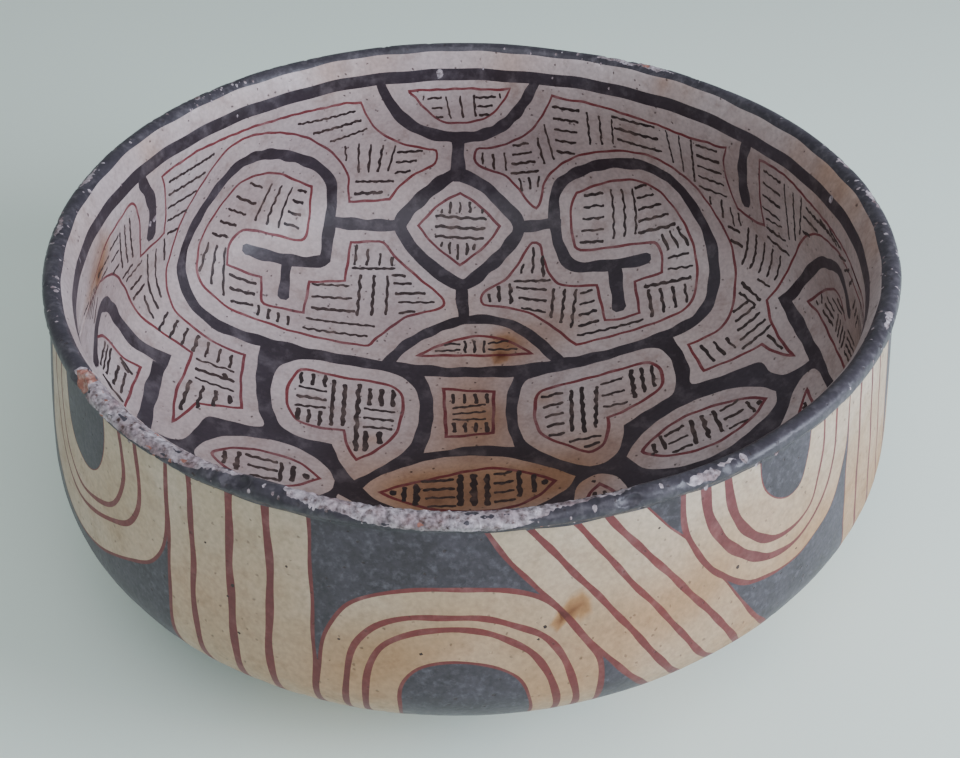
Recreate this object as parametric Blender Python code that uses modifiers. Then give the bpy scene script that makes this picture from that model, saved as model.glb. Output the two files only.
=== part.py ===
"""A hand-built, slip-painted pottery bowl, modelled in metres with +Z up.

The bowl is one hollow piece of fired clay. It stands on a small flat underside,
its belly turns over low down, its wall leans in towards a narrow neck, and the
mouth ends in a rolled lip. The potter's eye and hand show: the mouth is a
little three-cornered, the bowl leans a touch, and the lip is worn and chipped.
"""
import math

import bmesh
import bpy
from mathutils import Vector
from mathutils.geometry import interpolate_bezier

# Outside sizes
RIM_RADIUS = 0.150          # to the outermost edge of the lip
HEIGHT = 0.131              # from the shelf to the top of the lip
BELLY_RADIUS = 0.1563       # the widest part
BELLY_HEIGHT = 0.062        # how high the widest part lies
BELLY_FULLNESS = 1.87       # power of the lower curve: 2 is an ellipse, less is leaner
BASE_RADIUS = 0.045         # the flat spot that the bowl stands on
BELLY_TURN = 0.008          # how far the curve takes to turn over at the belly

# Lip and neck
LIP_RADIUS = 0.0033         # the lip is a round roll of clay
NECK_RADIUS = 0.1483        # the groove under the lip
NECK_DROP = 0.0064          # how far the groove lies below the top
NECK_SLOPE = 0.15           # how fast the wall spreads below the groove
NECK_REACH = 0.021          # how far down that slope is held
ROLL_END = math.radians(-50)    # where the roll meets the groove

# Inside sizes
WALL = 0.009                # thickness at the belly
FLOOR = 0.008               # thickness at the middle
INNER_BELLY_RISE = 0.003    # the inside is widest this much higher than the outside
INNER_REACH = 0.030         # how far up the inside wall stays upright
LIP_FLARE = math.radians(32)    # how far the inside leans out below the lip
FLARE_REACH = 0.0183        # length of that lean

# Signs of the hand
OVAL = 0.0005               # the mouth is longer one way by this much each side
OVAL_AT = math.radians(-45)
CORNERS = 0.0010            # three soft corners push the wall out by this much
CORNERS_AT = math.radians(5)
LEAN = 0.028                # sideways shift for each metre of height
RIM_TILT = -0.0067          # rise of the rim for each metre along X

# Worn stretches of the lip: from, to (degrees round the mouth), depth
WORN_STRETCHES = ((213, 245, 0.0024), (249, 288, 0.0016), (291, 312, 0.0007), (60, 84, 0.0007))
# Chips in the lip: angle (degrees), height on the roll (degrees), length, width, depth
CHIPS = (
    (215.5, 20, 0.0130, 0.0070, 0.0030),
    (243.0, 60, 0.0110, 0.0060, 0.0020),
    (287.0, 40, 0.0090, 0.0050, 0.0016),
    (302.0, 55, 0.0070, 0.0045, 0.0015),
    (61.0, 90, 0.0100, 0.0045, 0.0014),
)

# Smoothness of the faceted solid
STEPS = 90                  # round the axis
FLOOR_POINTS = 11           # along the inside, up to its widest
WALL_POINTS = 7             # along each side of the wall
UNDER_POINTS = 13           # from the belly in under the bowl
ROLL_POINTS = 7             # round the lip

SLIP_COLOR = (0.62, 0.50, 0.36, 1.0)    # cream slip, linear


def clear_scene():
    """Remove whatever the file holds."""
    for thing in list(bpy.data.objects):
        bpy.data.objects.remove(thing, do_unlink=True)


def lower_curve(radius, height, drop, count):
    """A quarter of a lean ellipse from its axis point out to its widest point."""
    power = 2 / BELLY_FULLNESS
    points = []
    for i in range(count):
        turn = math.radians(90) * i / (count - 1)
        points.append((radius * math.sin(turn) ** power, height - drop * abs(math.cos(turn)) ** power))
    return points


def bezier(start, reach_out, reach_in, end):
    """Points on a curve that leaves start and meets end along its two handles."""
    corners = [Vector((r, 0, z)) for r, z in (start, reach_out, reach_in, end)]
    return [(p.x, p.z) for p in interpolate_bezier(*corners, WALL_POINTS)]


def outline():
    """The wall's section: from the middle of the floor, over the lip, to the underside."""
    roll = (RIM_RADIUS - LIP_RADIUS, HEIGHT - LIP_RADIUS)
    roll_start = math.radians(180) - LIP_FLARE
    angles = [roll_start + (ROLL_END - roll_start) * i / (ROLL_POINTS - 1) for i in range(ROLL_POINTS)]
    lip = [(roll[0] + LIP_RADIUS * math.cos(a), roll[1] + LIP_RADIUS * math.sin(a)) for a in angles]

    inner_radius = BELLY_RADIUS - WALL
    inner_height = BELLY_HEIGHT + INNER_BELLY_RISE
    floor = lower_curve(inner_radius, inner_height, inner_height - FLOOR, FLOOR_POINTS)
    flare = (lip[0][0] - FLARE_REACH * math.sin(LIP_FLARE), lip[0][1] - FLARE_REACH * math.cos(LIP_FLARE))
    inside = bezier(floor[-1], (inner_radius, inner_height + INNER_REACH), flare, lip[0])

    neck = (NECK_RADIUS, HEIGHT - NECK_DROP)
    spread = (neck[0] + NECK_SLOPE * NECK_REACH, neck[1] - NECK_REACH)
    belly = (BELLY_RADIUS, BELLY_HEIGHT)
    outside = bezier(neck, spread, (belly[0], belly[1] + BELLY_TURN), belly)

    base_share = (BASE_RADIUS / BELLY_RADIUS) ** BELLY_FULLNESS
    full_drop = BELLY_HEIGHT / (1 - base_share) ** (1 / BELLY_FULLNESS)
    under = lower_curve(BELLY_RADIUS, BELLY_HEIGHT, full_drop, UNDER_POINTS)[::-1]
    under = [(r, z) for r, z in under if r > BASE_RADIUS and z > 0]
    return floor + inside[1:-1] + lip + outside + under[1:] + [(BASE_RADIUS, 0.0), (0.0, 0.0)]


def wear(angle):
    """How far the lip is worn down at an angle round the mouth."""
    depth = 0.0
    degrees = math.degrees(angle) % 360
    for start, end, most in WORN_STRETCHES:
        share = (degrees - start) / (end - start)
        if 0 < share < 1:
            depth += most * math.sin(math.pi * share) ** 0.6
    return depth


def hand_made(point):
    """Move a point of the true turned shape to where the potter left it."""
    radius = math.hypot(point.x, point.y)
    if radius < 1e-9:
        return Vector((LEAN * point.z, 0, point.z))
    angle = math.atan2(point.y, point.x)
    bulge = OVAL * math.cos(2 * (angle - OVAL_AT)) + CORNERS * math.cos(3 * (angle - CORNERS_AT))
    wide = radius * (1 + bulge / RIM_RADIUS)
    on_lip = max(0.0, (point.z - HEIGHT + NECK_DROP) / NECK_DROP)
    height = point.z - wear(angle) * on_lip
    height += RIM_TILT * point.x * point.z / HEIGHT
    return Vector((wide * math.cos(angle) + LEAN * point.z, wide * math.sin(angle), height))


def turned_mesh(name):
    """Turn the outline round +Z and return the closed mesh."""
    section = bpy.data.meshes.new(name + "_outline")
    points = [(r, 0.0, z) for r, z in outline()]
    section.from_pydata(points, [(i, i + 1) for i in range(len(points) - 1)], [])
    turner = bpy.data.objects.new(name + "_outline", section)
    bpy.context.scene.collection.objects.link(turner)
    screw = turner.modifiers.new("Turn", "SCREW")
    screw.axis = "Z"
    screw.angle = math.tau
    screw.steps = STEPS
    screw.render_steps = STEPS
    screw.use_merge_vertices = True
    screw.merge_threshold = 0.00001
    bpy.context.view_layer.update()
    evaluated = turner.evaluated_get(bpy.context.evaluated_depsgraph_get())
    mesh = bpy.data.meshes.new_from_object(evaluated)
    mesh.name = name
    bpy.data.objects.remove(turner)
    bpy.data.meshes.remove(section)
    return mesh


def slip_material():
    """Burnished cream slip over fired clay."""
    material = bpy.data.materials.new("cream_slip")
    material.use_nodes = True
    shader = material.node_tree.nodes["Principled BSDF"]
    shader.inputs["Base Color"].default_value = SLIP_COLOR
    shader.inputs["Roughness"].default_value = 0.6
    shader.inputs["Metallic"].default_value = 0.0
    return material


def make_bowl(parts):
    """The whole bowl before its chips are cut."""
    mesh = turned_mesh("bowl")
    for vertex in mesh.vertices:
        vertex.co = hand_made(vertex.co)
    mesh.shade_smooth()
    mesh.set_sharp_from_angle(angle=math.radians(40))
    mesh.materials.clear()
    mesh.materials.append(slip_material())
    bowl = bpy.data.objects.new("bowl", mesh)
    parts.objects.link(bowl)
    return bowl


def chip_cutter(name, degrees, roll_degrees, length, width, depth, cutters):
    """A flattened pebble that bites a chip of the given depth out of the lip."""
    angle = math.radians(degrees)
    roll_angle = math.radians(roll_degrees)
    mesh = bpy.data.meshes.new(name)
    shape = bmesh.new()
    bmesh.ops.create_icosphere(shape, subdivisions=2, radius=1.0)
    reach = width / 2
    out = LIP_RADIUS - depth + reach
    for vertex in shape.verts:
        along, across, deep = vertex.co.x * length / 2, vertex.co.y * width / 2, vertex.co.z * reach
        radial = RIM_RADIUS - LIP_RADIUS
        radial += (out + deep) * math.cos(roll_angle) - across * math.sin(roll_angle)
        rise = HEIGHT - LIP_RADIUS + (out + deep) * math.sin(roll_angle) + across * math.cos(roll_angle)
        turned = angle + along / RIM_RADIUS
        level = HEIGHT - LIP_RADIUS
        moved = hand_made(Vector((radial * math.cos(turned), radial * math.sin(turned), level)))
        vertex.co = moved + Vector((0, 0, rise - level))
    shape.to_mesh(mesh)
    shape.free()
    cutter = bpy.data.objects.new(name, mesh)
    cutter.hide_render = True
    cutter.display_type = "WIRE"
    cutters.objects.link(cutter)
    return cutter


def cut_chips(bowl, cutters):
    """Take each chip out of the lip."""
    for number, chip in enumerate(CHIPS, start=1):
        cutter = chip_cutter("chip_%d" % number, *chip, cutters)
        cut = bowl.modifiers.new("Chip %d" % number, "BOOLEAN")
        cut.operation = "DIFFERENCE"
        cut.solver = "EXACT"
        cut.object = cutter


def main():
    clear_scene()
    parts = bpy.data.collections.new("painted_bowl")
    cutters = bpy.data.collections.new("cutters")
    bpy.context.scene.collection.children.link(parts)
    bpy.context.scene.collection.children.link(cutters)
    bowl = make_bowl(parts)
    cut_chips(bowl, cutters)


main()
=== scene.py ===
# %% [markdown]
# # A slip-painted pottery bowl
#
# The bowl is low-fired clay, built by hand, covered in cream slip and painted
# in black and red before firing. This lesson dresses a plain model of it. We
# first load that model, which fixes the size and the place of everything.

# %% Load the plain model
import math

import bpy
import numpy as np
from mathutils import Matrix, Vector
from mathutils.geometry import delaunay_2d_cdt, interpolate_bezier


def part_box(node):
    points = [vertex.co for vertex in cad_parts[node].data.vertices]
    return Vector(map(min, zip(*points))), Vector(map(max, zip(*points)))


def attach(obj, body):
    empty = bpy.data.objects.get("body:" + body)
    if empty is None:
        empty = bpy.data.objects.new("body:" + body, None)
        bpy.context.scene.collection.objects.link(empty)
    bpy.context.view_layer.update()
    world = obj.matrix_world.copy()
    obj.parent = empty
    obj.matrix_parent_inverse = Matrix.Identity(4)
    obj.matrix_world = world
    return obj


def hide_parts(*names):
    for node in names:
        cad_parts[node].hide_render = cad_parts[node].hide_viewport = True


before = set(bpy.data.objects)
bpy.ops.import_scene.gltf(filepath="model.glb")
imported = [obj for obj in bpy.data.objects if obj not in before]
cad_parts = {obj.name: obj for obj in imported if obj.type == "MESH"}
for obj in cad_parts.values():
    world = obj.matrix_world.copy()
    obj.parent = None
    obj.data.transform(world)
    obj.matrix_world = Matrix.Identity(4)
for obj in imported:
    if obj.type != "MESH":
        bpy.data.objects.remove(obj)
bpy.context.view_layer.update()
low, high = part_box("bowl")

DRAWN_WIDTH = 312.6                     # the drawing below has the bowl this wide, in mm
MM = (high[0] - low[0]) / DRAWN_WIDTH   # one drawn millimetre in metres
print("one drawn millimetre is", round(MM * 1000, 4), "real ones")

# %% [markdown]
# ## The wall's section
#
# A potter thinks of a bowl as one line turned round an axis. Ours starts at the
# middle of the floor, climbs the inside, rolls over the lip and comes down the
# outside to the foot. Every point of the surface then has two addresses: how
# far along that line it lies, and at what angle round the bowl.

# %% Sizes of the section, in mm
RIM_RADIUS = 150.0
HEIGHT = 131.0
BELLY_RADIUS = 156.3
BELLY_HEIGHT = 62.0
BELLY_FULLNESS = 1.87
BELLY_TURN = 8.0
BASE_RADIUS = 45.0
LIP_RADIUS = 3.3
NECK_RADIUS = 148.3
NECK_DROP = 6.4
NECK_SLOPE = 0.15
NECK_REACH = 21.0
ROLL_END = math.radians(-50)
WALL = 9.0
FLOOR = 8.0
INNER_BELLY_RISE = 3.0
INNER_REACH = 30.0
LIP_FLARE = math.radians(32)
FLARE_REACH = 18.3
print("a wall", WALL, "mm thick in a bowl", HEIGHT, "mm high")

# %% The section as a line
FLOOR_POINTS, WALL_POINTS, LIP_POINTS, UNDER_POINTS = 160, 80, 40, 300


def polar(radius, angle):
    """Points at these distances and angles round the origin."""
    return np.stack((radius * np.cos(angle), radius * np.sin(angle)), axis=1)


def lower_curve(radius, height, drop, count):
    """A quarter of a lean ellipse, from its point on the axis to its widest."""
    turn = np.linspace(0, math.pi / 2, count)
    power = 2 / BELLY_FULLNESS
    return np.stack((radius * np.sin(turn) ** power, height - drop * np.abs(np.cos(turn)) ** power), axis=1)


def bezier(corners, count):
    """Points on the curve with these four control points."""
    return np.array([p[:2] for p in interpolate_bezier(*[Vector((*c, 0)) for c in corners], count)])


roll = np.array((RIM_RADIUS - LIP_RADIUS, HEIGHT - LIP_RADIUS))
roll_angles = np.linspace(math.pi - LIP_FLARE, ROLL_END, LIP_POINTS)
lip_line = roll + polar(LIP_RADIUS, roll_angles)
inner = (BELLY_RADIUS - WALL, BELLY_HEIGHT + INNER_BELLY_RISE)
floor_line = lower_curve(inner[0], inner[1], inner[1] - FLOOR, FLOOR_POINTS)
flare = lip_line[0] - FLARE_REACH * np.array((math.sin(LIP_FLARE), math.cos(LIP_FLARE)))
inside_line = bezier((inner, (inner[0], inner[1] + INNER_REACH), flare, lip_line[0]), WALL_POINTS)
neck = (NECK_RADIUS, HEIGHT - NECK_DROP)
spread = (neck[0] + NECK_SLOPE * NECK_REACH, neck[1] - NECK_REACH)
belly = (BELLY_RADIUS, BELLY_HEIGHT)
outside_line = bezier((neck, spread, (belly[0], belly[1] + BELLY_TURN), belly), WALL_POINTS)
base_share = (BASE_RADIUS / BELLY_RADIUS) ** BELLY_FULLNESS
full_drop = BELLY_HEIGHT / (1 - base_share) ** (1 / BELLY_FULLNESS)
under_line = lower_curve(BELLY_RADIUS, BELLY_HEIGHT, full_drop, UNDER_POINTS)[::-1]
under_line = under_line[(under_line[:, 0] > BASE_RADIUS) & (under_line[:, 1] > 0)]
section = np.concatenate((floor_line, inside_line[1:-1], lip_line, outside_line, under_line[1:],
                          [(BASE_RADIUS, 0.0), (0.0, 0.0)]))
reach = np.concatenate(([0.0], np.cumsum(np.hypot(*np.diff(section, axis=0).T))))

# Landmarks along the line, in mm from the middle of the floor
AT_LIP = reach[len(floor_line) + len(inside_line) - 2]
AT_NECK = reach[len(floor_line) + len(inside_line) - 2 + len(lip_line)]
AT_BASE = reach[-2]
AT_END = reach[-1]
print("lip, neck, foot and end at", [round(float(at), 1) for at in (AT_LIP, AT_NECK, AT_BASE, AT_END)])

# %% [markdown]
# ## Drawing on a flat sheet
#
# Peel the surface off the bowl, keep every angle, and lay each point as far
# from the centre as it is along the section: the bowl becomes a flat disc. The
# inside is the middle of the disc, the outside is a ring round it. A brush
# drawing is easy to plan on such a sheet. A line is a smooth curve through a
# few points, and a third value, K, marks a point where it turns sharply.

# %% Smooth lines
K = True                # marks a sharp turn
STEP = 2.2              # mm between points along a painted edge
TINY = 1e-9             # keeps a division by a length safe


def curve(points, closed=False, step=STEP):
    """A smooth line through given points, sampled every few mm."""
    spots = np.array([p[:2] for p in points], float)
    count = len(spots)
    line = []
    for i in range(count if closed else count - 1):
        start, end = spots[i], spots[(i + 1) % count]
        chord = end - start
        length = np.hypot(*chord)
        slopes = []
        for j in (i, (i + 1) % count):
            at_end = not closed and j in (0, count - 1)
            if at_end or len(points[j]) > 2:
                slopes.append(chord)
                continue
            before, here, after = spots[j - 1], spots[j], spots[(j + 1) % count]
            span = np.hypot(*(after - here)) + np.hypot(*(here - before))
            slopes.append((after - before) * length / span)
        pieces = max(1, math.ceil(length / step))
        s = (np.arange(pieces) / pieces)[:, None]
        line.append((2 * s**3 - 3 * s**2 + 1) * start + (s**3 - 2 * s**2 + s) * slopes[0]
                    + (3 * s**2 - 2 * s**3) * end + (s**3 - s**2) * slopes[1])
    if not closed:
        line.append(spots[-1:])
    return np.concatenate(line)


def shake(spots, amount, length):
    """Move points a little by a smooth field, as an unsteady hand does."""
    x, y = spots.T / length
    # Waves of unlike lengths, so that the field hardly repeats
    sideways = np.sin(2.3 * x + 1.1 * y + 0.4) + np.sin(5.2 * y - 3.1 * x + 1.9)
    upwards = np.sin(2.9 * y - 1.7 * x + 2.2) + np.sin(4.7 * x + 3.9 * y + 0.8)
    return spots + amount / 2 * np.stack((sideways, upwards), axis=1)


print("a curve through 3 points has", len(curve([(0, 0), (20, 5), (40, 0)])), "points")

# %% Brush strokes
MITRE_LEAST = 0.65      # at a sharp corner a line is up to 1 / 0.65 times as wide
CAP = 0.3               # a stroke's end stands out by this share of its width
LOAD_WAVE = (0.42, 0.31)        # how fast the brush's load changes along x and y
CHANGE = (-1.2, 2.2)    # a width changes over the middle part of its line


def stroke(line, width, closed=False, end=None, unsteady=0.10, ripple=1.0):
    """The outline of a brush line: one loop, or two for a ring. Its width may change to end."""
    ahead = np.roll(line, -1, axis=0) - line
    if not closed:
        ahead[-1] = ahead[-2]
    ahead /= np.maximum(np.hypot(*ahead.T), TINY)[:, None]
    behind = np.roll(ahead, 1, axis=0)
    if not closed:
        behind[0] = ahead[0]
    mean = ahead + behind
    mean /= np.maximum(np.hypot(*mean.T), TINY)[:, None]
    mitre = np.clip((mean * ahead).sum(axis=1), MITRE_LEAST, 1)
    load = 1 + unsteady * np.sin(ripple * (line[:, 0] * LOAD_WAVE[0] + line[:, 1] * LOAD_WAVE[1]) + 1.0)
    if end is not None:
        share = np.clip(np.linspace(*CHANGE, len(line)), 0, 1)
        load *= 1 + (end / width - 1) * share ** 2 * (3 - 2 * share)
    side = np.stack((-mean[:, 1], mean[:, 0]), axis=1) * (width / 2 * load / mitre)[:, None]
    if closed:
        return [line + side, (line - side)[::-1]]
    tip, tail = ahead[-1] * (end or width) * CAP, -ahead[0] * width * CAP
    cap = [line[-1] + side[-1] * 0.5 + tip, line[-1] - side[-1] * 0.5 + tip]
    heel = [line[0] - side[0] * 0.5 + tail, line[0] + side[0] * 0.5 + tail]
    return [np.concatenate((line + side, cap, (line - side)[::-1], heel))]


print("its brush stroke has", len(stroke(curve([(0, 0), (20, 5), (40, 0)]), 5.0)[0]), "points round it")

# %% Places on the sheet
AXIS = -8.0             # the far half of the inside is repeated across this line
SQUEEZE_FROM = 75.0     # farther than this from the axis, the near half is squeezed
BEYOND = 300            # farther from the axis than anything drawn inside
RING_RADIUS, RING_WIDTH = 221.5, 5.5    # the dark ring under the mouth
DEGREE = math.radians(1) * RIM_RADIUS   # mm along the outside for one degree


def across(loops):
    """The same loops on the near half of the inside, squeezed a little so that they end at the ring."""
    crossed = []
    for loop in loops:
        away = np.interp(loop[:, 1] - AXIS, (-BEYOND, SQUEEZE_FROM, RING_RADIUS - AXIS, BEYOND),
                         (-BEYOND, SQUEEZE_FROM, RING_RADIUS + AXIS, BEYOND + 2 * AXIS))
        near = np.stack((loop[:, 0], AXIS - away), axis=1)
        widest = np.maximum(np.hypot(*loop.T), RING_RADIUS)
        crossed.append((near * np.minimum(1, widest / np.hypot(*near.T))[:, None])[::-1])
    return crossed


def outside(loops):
    """Loops drawn as (mm round the bowl, mm below the neck), laid on the sheet's outer ring."""
    laid = []
    for loop in loops:
        gaps = np.hypot(*(np.roll(loop, -1, axis=0) - loop).T)
        parts = [np.linspace(here, there, math.ceil(gap / STEP) + 1)[:-1]
                 for here, there, gap in zip(loop, np.roll(loop, -1, axis=0), gaps) if gap > 0]
        loop = np.concatenate(parts)
        laid.append(polar(AT_NECK + loop[:, 1], np.radians(loop[:, 0] / DEGREE)))
    return laid


def degrees(points, shift=0.0):
    """Points given in degrees round the bowl, with the degrees turned to mm."""
    return [((p[0] + shift) * DEGREE, *p[1:]) for p in points]


def ring(radius, roughness=0.0, count=420):
    """A circle on the sheet, as true as a turning hand makes it."""
    angle = np.linspace(0, math.tau, count, endpoint=False)
    wander = radius + roughness * (np.sin(7 * angle + 1) + np.sin(17 * angle) + np.sin(41 * angle + 2)) / 3
    return polar(wander, angle)


# Every painted area, in the order in which it is laid on: (paint, loops)
CREAM, BLACK, RED, HATCH, BUFF, BLUEBLACK, BRICK, BARE, FOOT, LIP, FIRED = range(11)
layers = []
print("one degree is", round(DEGREE, 2), "mm along the outside")

# %% [markdown]
# ## The ground colours
#
# The potter first washed the whole bowl in slip, then laid on the dark areas.
# Inside, a thin ring runs under the lip, and one long line makes two spirals
# like eyes. We lay the broad areas first, because later paint covers them.

# %% Dark lines inside
THICK_LINES = (
    (6.5, [(-60, 214), (-52, 205.5), (-42, 197.5), (-30, 191.5), (-15, 187.8), (-3, 187), (10, 188.5),
           (22, 192.5), (32, 199.5), (41, 207.5), (49, 216)]),
    (7.5, [(-4, 188), (-3.8, 176), (-3.5, 165)]),
    (5.7, [(-31, 140.8), (-45, 139), (-66, 136.5)]),
    (5.5, [(27, 140), (47, 139.5)]),
    (5.5, [(-1.5, 112), (-1, 104), (0, 94)]),
    (5.7, [(-105, 111.5), (-80, 114), (-69, 116), (-66, 118.5, K), (-66.3, 140), (-68, 150), (-72, 156.5),
           (-80, 160.5), (-92, 162), (-105, 161), (-118, 157), (-128, 150), (-135, 140), (-139, 122),
           (-139.2, 104), (-135.5, 90), (-130, 81.5), (-124, 75.5), (-117, 72), (-110, 69.5), (-90, 68),
           (-60, 66), (-20, 63), (0, 62), (40, 63.3), (80, 66.3), (97, 69.5), (107, 73), (114, 81),
           (118, 92), (120, 106), (118.7, 129), (115.5, 139.5), (110, 147.5), (102, 154.5), (92, 159.5),
           (82, 162), (70, 163), (58, 161), (49.5, 157), (46, 150), (45.3, 140), (46.2, 130),
           (49.5, 120), (52.5, 117), (60, 114.6), (88.5, 111.3)]),
    (5.0, [(-84, 113), (-83.5, 94.5)]),
    (6.3, [(72, 112), (72.3, 89.5)]),
    (5.0, [(-35, 65), (-27.5, 75.3), (-17.5, 83.6), (-7.5, 89.3), (2.5, 92.2), (12, 92), (20, 89.5),
           (28, 84), (35, 76), (43.5, 64)]),
    (7.5, [(-200.5, 88.5), (-195, 90), (-182, 91.5), (-173, 88.5), (-167, 84.5)]),
    (7.5, [(180.5, 126.5), (172, 123.5), (163, 117), (155, 108)]),
    (6.3, [(-134, -9), (-134.3, 20), (-133.5, 37), (-133, 41, K), (-145, 41), (-157, 42.5), (-167, 41),
           (-174, 37), (-177.5, 31), (-175, 24), (-170, 19), (-163, 13)]),
    (5.8, [(152, -9), (151, 20), (149, 40), (146.7, 54), (146, 59.5, K), (155, 58.8), (165, 57), (175, 53),
           (183, 48), (189, 40), (194, 31), (195, 24), (191, 16), (184, 10)]),
)
DIAMOND = [(-3.5, 166.5), (10, 160.5), (20, 151), (27.5, 140.5), (21, 130), (10, 119), (-1, 111.5),
           (-14, 119.5), (-25, 130), (-31.5, 141), (-24, 152), (-13, 161.5)]
# The upper edge of the dark ground between the middle cells
GROUND = [(-136, -1.5), (-119, -1), (-113, 9), (-108.5, 18), (-98, 18.5), (-85.5, 20), (-88, 28), (-90.5, 40),
          (-91.5, 50), (-91, 67, K), (-60, 65), (0, 61), (60, 64), (93, 68, K), (97, 55), (98.5, 45),
          (98, 37), (108, 36.5), (127, 36), (131, 28), (137, 22.5), (152, 23)]
DIAMOND_WIDTH = 6.5
LINE_SHAKE, SHAKE_LENGTH = 0.3, 9.0
RING_WANDER = 0.5


def paint(tone, loops, mirrored=False):
    """Lay one area on the sheet, and on the near half too if asked."""
    layers.append((tone, loops))
    if mirrored:
        layers.append((tone, across(loops)))


def brushed(points, closed=False):
    """A smooth line as an unsteady hand draws it."""
    return shake(curve(points, closed), LINE_SHAKE, SHAKE_LENGTH)


paint(BLACK, [ring(RING_RADIUS + RING_WIDTH / 2, RING_WANDER),
              ring(RING_RADIUS - RING_WIDTH / 2, RING_WANDER)[::-1]])
for width, points in THICK_LINES:
    paint(BLACK, stroke(brushed(points), width), mirrored=True)
paint(BLACK, stroke(brushed(DIAMOND, closed=True), DIAMOND_WIDTH, closed=True), mirrored=True)
edge = brushed(GROUND)
paint(BLACK, [np.concatenate((edge, across([edge])[0]))])
print(len(layers), "dark areas inside")

# %% [markdown]
# ## Cells and their red outlines
#
# Between the dark lines lie pale cells. Each has a thin red line a few
# millimetres inside its edge, and inside that the cell is filled with hatching.

# %% Pale cells
CELLS = (   # mirrored, points
    (True, [(-80, 58), (-70, 63), (-55, 62.5), (-35, 61), (-26, 57), (-21, 50), (-19.5, 40), (-20, 30),
            (-22.5, 20), (-28, 12), (-37, 3), (-46, -4.5, K), (-52, 5), (-56, 16, K), (-70, 17.5), (-78, 22),
            (-82, 30), (-84, 40), (-83.5, 50)]),
    (True, [(27, 55), (35, 58), (50, 60), (65, 62), (78, 63.5), (87, 62), (91, 55), (92, 45), (90, 35),
            (84, 31), (75, 26.5), (67, 21.5, K), (66, 15), (64, 8), (58, 2), (51, 0.5, K), (45, 3),
            (35, 10.5), (27, 18), (23.5, 28), (23.5, 42)]),
    (True, [(-17.5, 59.5, K), (22, 58.5, K), (19, 48), (18, 38), (18.5, 28), (21, 17, K), (10, 18.5), (0, 18),
            (-10, 15.5), (-17, 14.5, K), (-14.5, 25), (-13.5, 38), (-14.5, 50)]),
    (False, [(-42, -9, K), (-38, -3), (-28, 4), (-15, 10), (0, 12.8), (13, 12), (25, 8), (35, 2.5),
             (45, -4, K), (42, -10), (36, -15), (25, -22), (5, -27), (-15, -25), (-30, -19), (-38, -14)]),
    (False, [(-112, -4), (-108, 3), (-100, 9.5), (-88, 12.5), (-75, 12), (-65, 8), (-57, 1), (-53.5, -6, K),
             (-55, -12), (-63, -18), (-83, -21), (-100, -16), (-110, -9)]),
    (False, [(66.5, 3, K), (70, 10), (78, 18), (90, 25), (103, 28), (115, 27), (125, 22.5), (131, 16, K),
             (129, 9), (120, 2), (108, -5), (95, -9), (82, -9), (72, -5)]),
    (False, [(69, -28, K), (80, -21), (95, -16.5), (108, -19), (120, -26), (129, -33), (131, -40, K),
             (125, -46.5), (115, -51), (103, -52), (90, -49), (78, -42), (71, -35)]),
    (False, [(141, 15.5), (149, 17), (151, -8), (149, -33), (141, -31.5), (133, -20), (127.5, -8), (133, 3)]),
    (False, [(54, -5), (61, -8), (64.5, -15), (64, -26), (44, -26), (44, -15), (47.5, -8)]),
    (False, [(-50, -11), (-46, -11), (-44, -17), (-52, -17)]),
)
for mirrored, points in CELLS:
    paint(CREAM, [brushed(points, closed=True)], mirrored)
# Left of the big near lens, the line below it is bolder
BOLD_LINE, BOLD_WIDTH = [(-50, -11), (-46, -13.5), (-40, -18), (-31, -24)], 6.5
paint(BLACK, stroke(brushed(BOLD_LINE), BOLD_WIDTH))
print(len(CELLS), "pale cells")

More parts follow.
